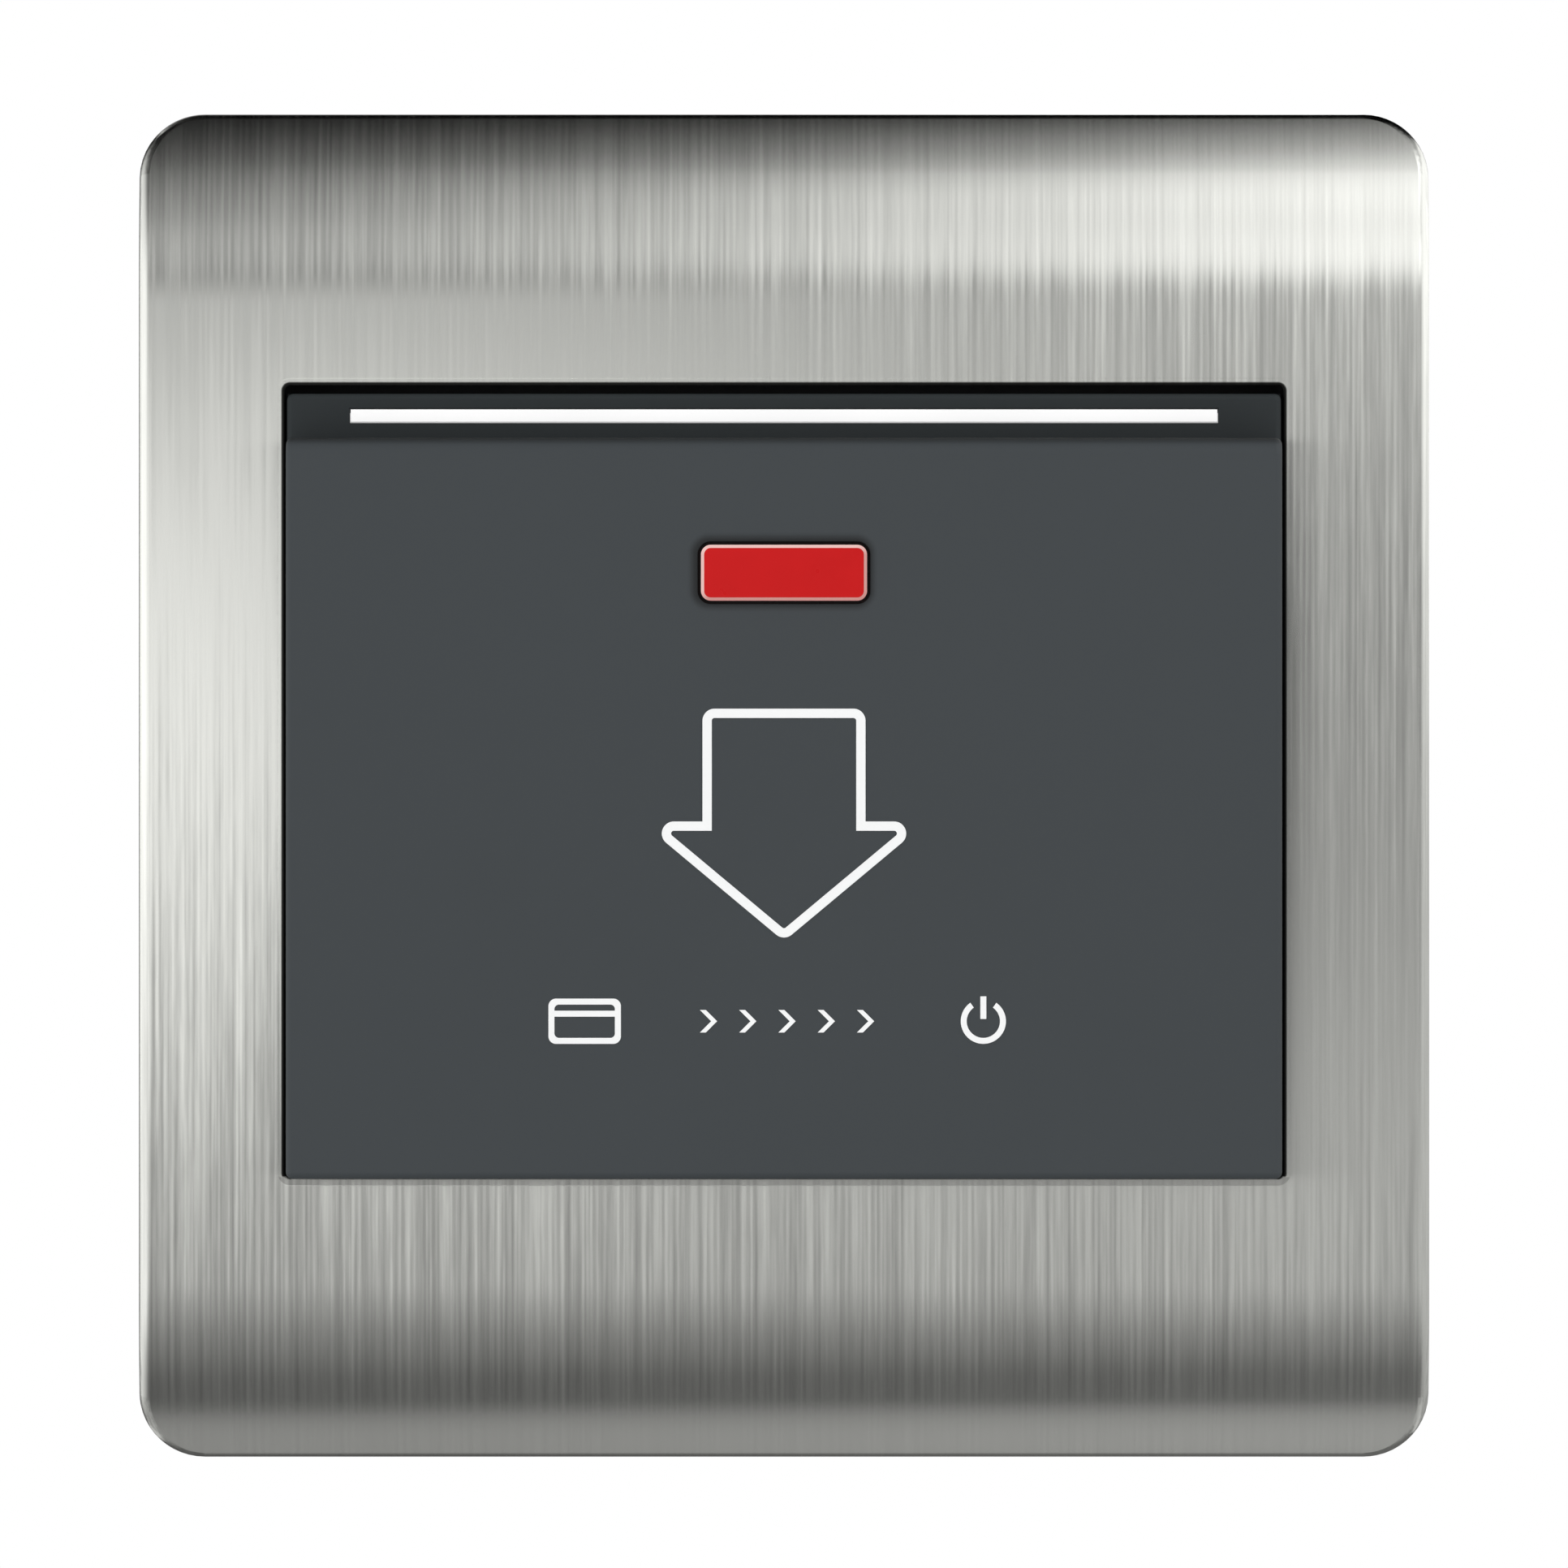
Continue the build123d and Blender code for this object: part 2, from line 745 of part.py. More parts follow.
def front_cover():
    half = cover_width / 2
    cover = block(-half, half, cassette_depth, cover_depth, cover_bottom, cover_top)
    lip = cover.edges().filter_by(Axis.X).group_by(Axis.Z)[-1].sort_by(Axis.Y)[0]
    cover = fillet(lip, cover_lip_radius)
    lower_corners = cover.edges().filter_by(Axis.Y).group_by(Axis.Z)[0]
    cover = fillet(lower_corners, window_corner_radius)
    rim = []
    for edge in cover.edges():
        box = edge.bounding_box()
        forward = box.max.Y < cover_lip_radius / 2 - cover_depth + cover_lip_radius
        seam = box.size.X > cover_width / 2 and box.min.Z > cover_bottom + cover_edge_radius
        if forward and not seam:
            rim.append(edge)
    cover = fillet(rim, cover_edge_radius)
    inside = block(
        cover_side_wall - half,
        half - cover_side_wall,
        0,
        pocket_front,
        cover_bottom + cover_side_wall,
        cover_top + overrun,
    )
    cover -= inside
    # The lip's inner edge is bevelled so that the card finds the pocket
    inner_lip = cover.edges().filter_by(Axis.X).filter_by(
        lambda edge: abs(edge.center().Z - cover_top) < cover_lead_in / 10
        and abs(edge.center().Y + pocket_front) < cover_lead_in / 10
    )
    cover = chamfer(inner_lip, cover_lead_in)
    rib_back = cassette_depth + snap_gap
    floor = cover_bottom + cover_side_wall / 2
    cover += both_sides(block(rib_inner, rib_outer, rib_back, pocket_front + cover_wall / 2, floor, rib_top))
    cover += both_sides(
        block(
            head_half_width + slide_gap,
            rib_inner + rib_wall / 2,
            rib_back,
            pocket_front + cover_wall / 2,
            card_stop - ledge_wall,
            card_stop,
        )
    )
    for z in (tab_z_upper, tab_z_lower):
        low = z - tab_height / 2
        high = z + tab_height / 2
        tab_end = cassette_back - tab_reach
        cover += both_sides(block(rib_inner, rib_outer, tab_end, pocket_front, low, high))
        hook_front = cassette_back - running_gap
        cover += both_sides(block(rib_outer, rib_outer + tab_hook, tab_end, hook_front, low, high))
    cover -= slab(lens_outline(lens_gap), cassette_depth, cover_depth + overrun)
    flange_front = pocket_front + lens_flange_wall + inlay_gap
    cover -= slab(lens_outline(lens_flange + inlay_gap), cassette_depth, flange_front)
    cover -= slab(arrow_outline() + signs_outline(), cover_depth - inlay_depth, cover_depth + overrun)
    return cover


def strip_outline(margin):
    return Pos(0, strip_z) * Rectangle(strip_width + 2 * margin, strip_height + 2 * margin)


def light_strip():
    bar = slab(strip_outline(0), cassette_back, cassette_depth)
    half = strip_width / 2 + strip_flange_side
    ceiling = cassette_top - cassette_skirt_wall - running_gap
    flange = block(
        -half, half, cassette_back - strip_flange_wall, cassette_back, strip_z - strip_flange_drop, ceiling
    )
    return bar + flange


def strip_board():
    half = strip_board_width / 2
    ceiling = cassette_top - cassette_skirt_wall - running_gap
    board = block(-half, half, strip_board_back, strip_board_front, strip_board_bottom, ceiling)
    for x in (-strip_post_x, strip_post_x):
        hole = strip_pin_radius + running_gap
        board -= rod(x, header_z, hole, 0, cassette_depth)
    for x in row_of(2, header_pitch):
        board -= rod(x, header_z, header_pin_size, 0, cassette_depth)
    return board


def strip_leds():
    lamps = Part()
    for x in row_of(strip_led_count, strip_led_pitch):
        lamps += block(
            x - strip_led_width / 2,
            x + strip_led_width / 2,
            strip_board_front,
            strip_board_front + strip_led_depth,
            strip_z - strip_flange_drop + running_gap,
            strip_z - strip_flange_drop + running_gap + strip_led_height,
        )
    return lamps


def strip_header_pins():
    pins = Part()
    half = header_pin_size / 2
    for x in row_of(2, header_pitch):
        pins += block(
            x - half,
            x + half,
            board_back + pin_tip_gap,
            strip_board_front - pin_tip_gap,
            header_z - half,
            header_z + half,
        )
    return pins


def lens_outline(margin):
    outline = RectangleRounded(
        lens_width + 2 * margin, lens_height + 2 * margin, lens_corner_radius + margin
    )
    return Pos(0, lens_z) * outline


def indicator_lens():
    lens = slab(lens_outline(0), pocket_front, cover_depth + lens_proud)
    rim = lens.edges().group_by(Axis.Y)[0]
    lens = chamfer(rim, lens_chamfer)
    return lens + slab(lens_outline(lens_flange), pocket_front, pocket_front + lens_flange_wall)


def guide_outline(margin):
    return Pos(0, lens_z) * Rectangle(guide_width + 2 * margin, guide_height + 2 * margin)


def indicator_light_guide():
    guide = slab(guide_outline(0), board_front + lamp_depth + lamp_gap, cassette_depth)
    return guide + slab(guide_outline(guide_flange), cassette_back - guide_flange_wall, cassette_back)


def indicator_led():
    lamp = block(
        -lamp_width / 2,
        lamp_width / 2,
        board_front,
        board_front + lamp_depth,
        lens_z - lamp_height / 2,
        lens_z + lamp_height / 2,
    )
    return chamfer(lamp.edges().group_by(Axis.Y)[0], lamp_depth / 8)


def arrow_outline():
    # An outlined arrow that points down into the pocket
    points = [
        (-arrow_shaft_half, arrow_top),
        (arrow_shaft_half, arrow_top),
        (arrow_shaft_half, arrow_shoulder),
        (arrow_head_half, arrow_shoulder),
        (0, arrow_tip),
        (-arrow_head_half, arrow_shoulder),
        (-arrow_shaft_half, arrow_shoulder),
    ]
    outer = make_face(Polyline(*points, close=True))
    inner = offset(outer, -arrow_stroke, kind=Kind.INTERSECTION)
    waist = [(-arrow_shaft_half, arrow_shoulder), (arrow_shaft_half, arrow_shoulder)]
    convex = [
        corner
        for corner in outer.vertices()
        if min(math.hypot(corner.X - x, corner.Y - z) for x, z in waist) > arrow_stroke
    ]
    outer = fillet(convex, arrow_corner_radius)
    inner = fillet(convex_corners(inner), arrow_corner_radius - arrow_stroke)
    return outer - inner


def convex_corners(face):
    # All corners but the two inner ones, where the shaft meets the head
    reach = arrow_shaft_half + arrow_stroke / 2
    corners = []
    for corner in face.vertices():
        at_waist = abs(corner.X) < reach and arrow_tip / 2 < corner.Y < arrow_top / 2
        if not at_waist:
            corners.append(corner)
    return corners


def signs_outline():
    # A card, a row of chevrons and a power sign
    half = sign_height / 2
    card = RectangleRounded(sign_card_width, sign_height, sign_card_radius)
    card -= RectangleRounded(
        sign_card_width - 2 * sign_stroke, sign_height - 2 * sign_stroke, sign_card_radius - sign_stroke / 2
    )
    card += Pos(0, half / 3) * Rectangle(sign_card_width - sign_stroke, sign_stroke)
    signs = Pos(sign_card_x, sign_z) * card
    for x in row_of(sign_chevron_count, sign_chevron_pitch):
        tip = half / 2
        chevron = make_face(
            Polyline(
                (-tip / 2, tip),
                (sign_stroke - tip / 2, tip),
                (sign_stroke + tip / 2, 0),
                (sign_stroke - tip / 2, -tip),
                (-tip / 2, -tip),
                (tip / 2, 0),
                close=True,
            )
        )
        signs += Pos(x, sign_z) * chevron
    ring = Circle(half) - Circle(half - sign_stroke)
    reach = half * math.tan(math.radians(sign_gap_angle / 2))
    ring -= make_face(Polyline((0, 0), (reach, half), (-reach, half), close=True))
    ring += Pos(0, half * 0.6) * Rectangle(sign_stroke, half)
    return signs + Pos(sign_power_x, sign_z) * ring


def legend_inlay():
    return slab(arrow_outline() + signs_outline(), cover_depth - inlay_depth, cover_depth + inlay_proud)


def spring_depth():
    # The spring stands behind the mast
    mast_back = cassette_back - slide_gap - mast_wall
    return mast_back - slide_gap - spring_radius - spring_wire_radius


def card_actuator():
    head_bottom = head_top - head_height
    head = block(
        -head_half_width,
        head_half_width,
        cassette_depth + slide_gap,
        pocket_front - slide_gap,
        head_bottom,
        head_top,
    )
    head = fillet(head.edges().filter_by(Axis.Y), head_edge_radius)
    mast_front = cassette_back - slide_gap
    mast_back = mast_front - mast_wall
    stem = block(
        -stem_half_width,
        stem_half_width,
        mast_back,
        cassette_depth + 2 * slide_gap,
        head_bottom,
        head_top - stem_drop,
    )
    mast_top = finger_z + finger_radius
    mast = block(-mast_half_width, mast_half_width, mast_back, mast_front, head_bottom, mast_top)
    finger = rod(0, finger_z, finger_radius, -finger_reach, mast_front)
    foot = block(
        -foot_half_width,
        foot_half_width,
        spring_depth() - spring_radius - spring_wire_radius,
        mast_back + mast_wall / 2,
        foot_top - foot_wall,
        foot_top,
    )
    return head + stem + mast + finger + foot


def actuator_spring():
    bottom = spring_seat + spring_wire_radius + running_gap
    top = foot_top - foot_wall - spring_wire_radius - running_gap
    height = top - bottom
    path = Helix(height / spring_turns, height, spring_radius)
    wire = Plane(path @ 0, z_dir=path % 0) * Circle(spring_wire_radius)
    return Pos(0, -spring_depth(), bottom) * sweep(wire, path=path)


def microswitch_body():
    right = switch_left + switch_width
    back = board_front
    front = board_front + switch_depth
    body = block(switch_left, right, back, front, switch_top - switch_height, switch_top)
    body = fillet(body.edges().filter_by(Axis.Y), switch_edge_radius)
    for ear_back in (back, front - ear_wall):
        body += block(
            pivot_x - ear_half_width,
            pivot_x + ear_half_width,
            ear_back,
            ear_back + ear_wall,
            switch_top - switch_edge_radius,
            pivot_z + ear_half_width,
        )
    body -= rod(pivot_x, pivot_z, pivot_radius + running_gap, back - overrun, front + overrun)
    bore_depth = plunger_shank + plunger_travel() + running_gap
    bore = Cylinder(plunger_radius + running_gap, bore_depth + overrun)
    height = switch_top - bore_depth + (bore_depth + overrun) / 2
    body -= Pos(pivot_x + plunger_offset, -switch_centre_depth, height) * bore
    return body


def plunger_height(angle):
    # The centre of the plunger's dome above the pivot, with the lever at this angle
    turned = math.radians(angle)
    below = lever_wall / 2 + plunger_radius + lever_contact_gap
    return (plunger_offset * math.sin(turned) - below) / math.cos(turned)


def plunger_travel():
    return plunger_height(lever_angle) - plunger_height(lever_pressed_angle)


def microswitch_plunger():
    dome = Sphere(plunger_radius)
    shank = Pos(0, 0, -plunger_shank / 2) * Cylinder(plunger_radius, plunger_shank)
    place = Pos(pivot_x + plunger_offset, -switch_centre_depth, pivot_z + plunger_height(lever_angle))
    return place * (dome + shank)


def microswitch_lever():
    # A leaf with a curl round its pivot pin
    half = lever_width / 2
    leaf = Pos(lever_length / 2, 0, 0) * Box(lever_length, lever_width, lever_wall)
    turn = Rot(X=90)
    curl = turn * Cylinder(pivot_curl_radius, lever_width)
    pin = turn * Cylinder(pivot_radius, switch_depth)
    lever = Rot(Y=-lever_angle) * (leaf + curl + pin)
    tip = Pos(lever_length, 0, 0) * Box(lever_wall * 2, half, lever_wall)
    lever += Rot(Y=-lever_angle) * tip
    return Pos(pivot_x, -switch_centre_depth, pivot_z) * lever


def microswitch_terminals():
    pins = Part()
    half = switch_pin_size / 2
    middle = switch_left + switch_width / 2
    z = switch_top - switch_height / 2
    for x in row_of(switch_pin_count, switch_pin_pitch):
        pins += block(
            middle + x - half, middle + x + half, board_back + pin_tip_gap, board_front, z - half, z + half
        )
    return pins


def terminal_cell(x, margin, back, front, bottom, top):
    half = clamp_width / 2 + margin
    return block(x - half, x + half, back, front, bottom, top)


def terminal_block():
    back = housing_floor + terminal_back_gap
    half = terminal_block_width / 2
    body = block(-half, half, back, board_back, terminal_block_bottom, terminal_block_top)
    for x in row_of(terminal_count, terminal_pitch):
        body -= terminal_cell(
            x,
            snap_gap,
            back - overrun,
            board_back - terminal_floor,
            terminal_block_bottom + terminal_end_wall,
            terminal_block_top - terminal_top_wall,
        )
        window = wire_window_width / 2
        body -= block(
            x - window,
            x + window,
            bar_face,
            bar_face + wire_gap,
            terminal_block_bottom - overrun,
            terminal_block_bottom + terminal_end_wall + overrun,
        )
        slot = bar_width / 2 + running_gap
        body -= block(
            x - slot,
            x + slot,
            bar_face - bar_wall - running_gap,
            bar_face + running_gap,
            terminal_block_top - terminal_top_wall - overrun,
            terminal_block_top + overrun,
        )
    return body


def contact_bars():
    bars = Part()
    for x in row_of(terminal_count, terminal_pitch):
        inner_end = terminal_block_bottom + terminal_end_wall + slide_gap
        tail_bottom = terminal_block_top + running_gap
        bars += block(
            x - bar_width / 2,
            x + bar_width / 2,
            bar_face - bar_wall,
            bar_face,
            inner_end,
            tail_bottom + bar_wall,
        )
        bars += block(
            x - bar_tail_width / 2,
            x + bar_tail_width / 2,
            bar_face - bar_wall,
            board_front - pin_tip_gap,
            tail_bottom,
            tail_bottom + bar_wall,
        )
    return bars


def terminal_clamp(x):
    low = terminal_z - clamp_length / 2
    high = terminal_z + clamp_length / 2
    cage = terminal_cell(x, 0, clamp_end, clamp_floor, low, high)
    inner_front = clamp_floor - clamp_wall
    cage -= terminal_cell(x, -clamp_wall, clamp_inner_back, inner_front, low - overrun, high + overrun)
    thread = terminal_screw_radius + running_gap
    return cage - rod(x, terminal_z, thread, clamp_end - overrun, clamp_inner_back + clamp_wall / 2)


def terminal_screw(x):
    head_end = head_underside - terminal_head_height
    head = rod(x, terminal_z, terminal_head_radius, head_end, head_underside)
    arm = 2 * terminal_head_radius * 0.8
    drive = Rectangle(arm, drive_width) + Rectangle(drive_width, arm)
    head -= slab(Pos(x, terminal_z) * drive, head_end - overrun, head_end + drive_depth)
    return head + rod(x, terminal_z, terminal_screw_radius, head_underside, screw_tip)


pieces = {
    "face_trim": face_trim(),
    "trim_backing": trim_backing(),
    "mounting_carrier": mounting_carrier(),
    "fixing_screws": fixing_screws(),
    "housing_screws": housing_screws(),
    "rear_housing": rear_housing(),
    "control_board": control_board(),
    "relay": relay(),
    "film_capacitor": film_capacitor(),
    "smoothing_capacitor": smoothing_capacitor(),
    "board_components": board_components(),
    "card_cassette": card_cassette(),
    "front_cover": front_cover(),
    "light_strip": light_strip(),
    "strip_board": strip_board(),
    "strip_leds": strip_leds(),
    "strip_header_pins": strip_header_pins(),
    "indicator_lens": indicator_lens(),
    "indicator_light_guide": indicator_light_guide(),
    "indicator_led": indicator_led(),
    "legend_inlay": legend_inlay(),
    "card_actuator": card_actuator(),
    "actuator_spring": actuator_spring(),
    "microswitch_body": microswitch_body(),
    "microswitch_lever": microswitch_lever(),
    "microswitch_plunger": microswitch_plunger(),
    "microswitch_terminals": microswitch_terminals(),
    "terminal_block": terminal_block(),
    "contact_bars": contact_bars(),
}
for number, x in enumerate(row_of(terminal_count, terminal_pitch), start=1):
    pieces[f"terminal_clamp_{number}"] = terminal_clamp(x)
    pieces[f"terminal_screw_{number}"] = terminal_screw(x)

os.makedirs("parts", exist_ok=True)
for node, piece in pieces.items():
    export_step(piece, f"parts/{node}.step")
    print(node, len(piece.solids()), round(piece.volume, 2))
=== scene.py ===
import math
import bmesh
import bpy
from mathutils import Matrix, Vector


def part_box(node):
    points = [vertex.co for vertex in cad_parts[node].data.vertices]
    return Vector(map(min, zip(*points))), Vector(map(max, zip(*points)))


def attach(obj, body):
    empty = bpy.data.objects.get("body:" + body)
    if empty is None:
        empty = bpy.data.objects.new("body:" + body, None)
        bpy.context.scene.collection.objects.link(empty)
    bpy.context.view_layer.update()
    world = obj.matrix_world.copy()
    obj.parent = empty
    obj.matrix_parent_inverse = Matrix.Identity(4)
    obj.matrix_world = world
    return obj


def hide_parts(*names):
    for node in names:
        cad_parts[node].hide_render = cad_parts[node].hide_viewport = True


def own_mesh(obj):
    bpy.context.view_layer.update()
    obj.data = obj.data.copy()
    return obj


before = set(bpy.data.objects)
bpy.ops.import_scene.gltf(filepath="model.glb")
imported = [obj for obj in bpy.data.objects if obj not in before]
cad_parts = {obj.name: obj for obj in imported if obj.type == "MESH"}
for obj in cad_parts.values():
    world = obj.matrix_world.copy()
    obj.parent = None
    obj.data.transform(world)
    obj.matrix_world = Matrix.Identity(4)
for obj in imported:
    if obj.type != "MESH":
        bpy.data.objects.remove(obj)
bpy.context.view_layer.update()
print("frame loaded:", len(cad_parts), "nodes")

mm = 0.001


# Small helpers for node trees

def newMaterial(name):
    material = bpy.data.materials.new(name)
    material.use_nodes = True
    tree = material.node_tree
    return material, tree, tree.nodes["Principled BSDF"]


def addNode(tree, kind, inputs=None, **settings):
    node = tree.nodes.new(kind)
    for key, value in settings.items():
        setattr(node, key, value)
    for key, value in (inputs or {}).items():
        if isinstance(value, bpy.types.NodeSocket):
            tree.links.new(value, node.inputs[key])
        else:
            node.inputs[key].default_value = value
    return node


def mathNode(tree, operation, first, second=0.0, clamp=False):
    settings = {0: first, 1: second}
    return addNode(tree, "ShaderNodeMath", settings, operation=operation, use_clamp=clamp).outputs[0]


def times(tree, first, second):
    return mathNode(tree, "MULTIPLY", first, second)


def plus(tree, first, second):
    return mathNode(tree, "ADD", first, second)


def minus(tree, first, second):
    return mathNode(tree, "SUBTRACT", first, second)


def vectorNode(tree, operation, first, second):
    return addNode(tree, "ShaderNodeVectorMath", {0: first, 1: second}, operation=operation).outputs[0]


def rangeNode(tree, value, low, high, start=0.0, end=1.0):
    settings = {"Value": value, "From Min": low, "From Max": high, "To Min": start, "To Max": end}
    return addNode(tree, "ShaderNodeMapRange", settings, interpolation_type="SMOOTHSTEP").outputs["Result"]


def noiseNode(tree, vector, scale, detail=2.0, roughness=0.5):
    settings = {"Vector": vector, "Scale": scale, "Detail": detail, "Roughness": roughness}
    return addNode(tree, "ShaderNodeTexNoise", settings).outputs["Fac"]


def mixColor(tree, factor, first, second):
    settings = {0: factor, 6: first, 7: second}
    return addNode(tree, "ShaderNodeMix", settings, data_type="RGBA").outputs[2]


def scaleColor(tree, color, factor):
    return vectorNode(tree, "MULTIPLY", color, factor)


def mixVector(tree, factor, first, second):
    settings = {0: factor, 4: first, 5: second}
    return addNode(tree, "ShaderNodeMix", settings, data_type="VECTOR").outputs[1]


def surfaceNormal(tree):
    return addNode(tree, "ShaderNodeNewGeometry").outputs["Normal"]


def objectPlace(tree):
    return addNode(tree, "ShaderNodeTexCoord").outputs["Object"]


def placeParts(tree, vector):
    return addNode(tree, "ShaderNodeSeparateXYZ", {0: vector}).outputs


def towards(tree, axis, limit=0.9):
    # One where the surface faces along the axis, either way
    along = placeParts(tree, surfaceNormal(tree))[axis]
    return mathNode(tree, "GREATER_THAN", mathNode(tree, "ABSOLUTE", along), limit)


def axisDistance(tree, place, middle):
    # Offsets along X and Z from an axis that runs along Y, and the distance from it
    parts = placeParts(tree, place)
    beside = minus(tree, parts[0], middle[0] * mm)
    above = minus(tree, parts[2], middle[1] * mm)
    squares = plus(tree, times(tree, beside, beside), times(tree, above, above))
    return beside, above, mathNode(tree, "SQRT", squares)


def bumpNode(tree, strength, distance, height, normal):
    settings = {"Strength": strength, "Distance": distance * mm, "Height": height, "Normal": normal}
    return addNode(tree, "ShaderNodeBump", settings).outputs[0]


def frameDistance(tree, place, centre, half, radius):
    # How far a place lies outside a rounded frame that faces -Y, all in millimetres
    parts = placeParts(tree, place)
    beyond = []
    for part, middle, reach in zip((parts[0], parts[2]), centre, half):
        away = mathNode(tree, "ABSOLUTE", minus(tree, part, middle * mm))
        beyond.append(minus(tree, away, (reach - radius) * mm))
    outside = [mathNode(tree, "MAXIMUM", value, 0.0) for value in beyond]
    squares = [times(tree, value, value) for value in outside]
    corner = mathNode(tree, "SQRT", plus(tree, *squares))
    inside = mathNode(tree, "MINIMUM", mathNode(tree, "MAXIMUM", *beyond), 0.0)
    distance = minus(tree, plus(tree, corner, inside), radius * mm)
    return mathNode(tree, "DIVIDE", distance, mm)


def newGroup(name, inputs, outputs):
    group = bpy.data.node_groups.new(name, "ShaderNodeTree")
    kinds = {"value": "NodeSocketFloat", "color": "NodeSocketColor", "vector": "NodeSocketVector"}
    for label, (kind, value) in inputs.items():
        socket = group.interface.new_socket(name=label, in_out="INPUT", socket_type=kinds[kind])
        if value is not None:
            socket.default_value = value
    for label, kind in outputs.items():
        group.interface.new_socket(name=label, in_out="OUTPUT", socket_type=kinds[kind])
    entry = group.nodes.new("NodeGroupInput")
    ending = group.nodes.new("NodeGroupOutput")
    return group, entry.outputs, ending.inputs


def placeGroup(tree, group, inputs):
    return addNode(tree, "ShaderNodeGroup", inputs, node_tree=group).outputs


# Effects that several finishes share

mouldedValues = {
    "grainDetail": 3.0,
    "grainRoughness": 0.6,
    "speckTone": 0.8,
    "flowScale": 90.0,  # the slow drift
    "flowTone": 1.4,
    "flowLow": 0.2,
    "flowDullness": 0.3,
    "grainDullness": 0.2,
    "dullness": 1.4,  # times the roughness given
    "bump": 0.03,
}


def makeMouldedGroup():
    # Spark-eroded mould grain with a slow drift of colour, and softly broken edges
    group, given, result = newGroup(
        "mouldedSurface",
        {
            "Place": ("vector", None),
            "Color": ("color", (0.5, 0.5, 0.5, 1)),
            "Drift": ("value", 0.06),
            "Roughness": ("value", 0.5),
            "Grain": ("value", 5000.0),
            "Depth": ("value", 0.2),
            "Edge": ("value", 0.1 * mm),
        },
        {"Color": "color", "Roughness": "value", "Normal": "vector"},
    )
    place, values = given["Place"], mouldedValues
    grain = noiseNode(group, place, given["Grain"], values["grainDetail"], values["grainRoughness"])
    flow = noiseNode(group, place, values["flowScale"])
    shift = minus(group, times(group, flow, values["flowTone"]), values["flowLow"])
    speck = times(group, minus(group, grain, 0.5), values["speckTone"])
    factor = times(group, plus(group, shift, speck), given["Drift"])
    factor = plus(group, factor, 1.0)
    group.links.new(scaleColor(group, given["Color"], factor), result["Color"])
    uneven = times(group, minus(group, flow, 0.5), values["flowDullness"])
    uneven = plus(group, uneven, times(group, grain, values["grainDullness"]))
    rough = times(group, given["Roughness"], plus(group, uneven, values["dullness"]))
    group.links.new(rough, result["Roughness"])
    edge = addNode(group, "ShaderNodeBevel", {"Radius": given["Edge"]}, samples=4)
    bump = bumpNode(group, given["Depth"], values["bump"], grain, edge.outputs[0])
    group.links.new(bump, result["Normal"])
    return group


brushedValues = {
    "sideways": 0.7,  # from here on a surface counts as a side
    "longShare": 0.6,
    "shortShare": 0.25,
    "shortStretch": (1.3, 1.3, 7.0),
    "broadShare": 0.15,
    "broadShift": (37.0, 11.0, 5.0),
    "broadScale": 0.2,
    "dullness": 0.5,
    "bump": 0.02,
}


def makeBrushedGroup():
    # Long fine streaks along Z, round the rolled ends and down the sides
    group, given, result = newGroup(
        "brushedSurface",
        {
            "Place": ("vector", None),
            "Color": ("color", (0.6, 0.6, 0.6, 1)),
            "Contrast": ("value", 0.6),
            "Roughness": ("value", 0.3),
            "Across": ("value", 3500.0),
            "Along": ("value", 30.0),
            "Tilt": ("value", 0.03),
            "Depth": ("value", 0.05),
            "Plain": ("value", 0.0),
            "Level": ("value", 0.0),
            "Facing": ("vector", None),
        },
        {"Color": "color", "Roughness": "value", "Normal": "vector"},
    )
    values = brushedValues
    across, along = given["Across"], given["Along"]
    frontScale = addNode(group, "ShaderNodeCombineXYZ", {0: across, 1: along, 2: along}).outputs[0]
    sideScale = addNode(group, "ShaderNodeCombineXYZ", {0: along, 1: across, 2: along}).outputs[0]
    chosen = mixVector(group, towards(group, 0, values["sideways"]), frontScale, sideScale)
    stretched = vectorNode(group, "MULTIPLY", given["Place"], chosen)
    long = noiseNode(group, stretched, 1.0, 1.0)
    short = noiseNode(group, vectorNode(group, "MULTIPLY", stretched, values["shortStretch"]), 1.0)
    shifted = vectorNode(group, "ADD", stretched, values["broadShift"])
    broad = noiseNode(group, shifted, values["broadScale"], 1.0)
    streak = plus(group, times(group, long, values["longShare"]), times(group, short, values["shortShare"]))
    streak = plus(group, streak, times(group, broad, values["broadShare"]))
    kept = minus(group, 1.0, given["Plain"])
    centred = times(group, minus(group, streak, 0.5), kept)
    factor = plus(group, times(group, centred, given["Contrast"]), 1.0)
    group.links.new(scaleColor(group, given["Color"], factor), result["Color"])
    uneven = plus(group, times(group, centred, values["dullness"]), 1.0)
    group.links.new(times(group, given["Roughness"], uneven), result["Roughness"])
    # Each streak leans a little up or down, so a reflection ends raggedly
    lean = plus(group, times(group, centred, given["Tilt"]), given["Level"])
    leaning = addNode(group, "ShaderNodeCombineXYZ", {2: lean}).outputs[0]
    leaning = vectorNode(group, "ADD", given["Facing"], leaning)
    leaning = addNode(group, "ShaderNodeVectorMath", {0: leaning}, operation="NORMALIZE").outputs[0]
    bump = bumpNode(group, given["Depth"], values["bump"], times(group, long, kept), leaning)
    group.links.new(bump, result["Normal"])
    return group


metalValues = {"cloudScale": 700.0, "cloudDetail": 3.0, "cloudDullness": 0.7, "dullness": 0.65, "bump": 0.01}


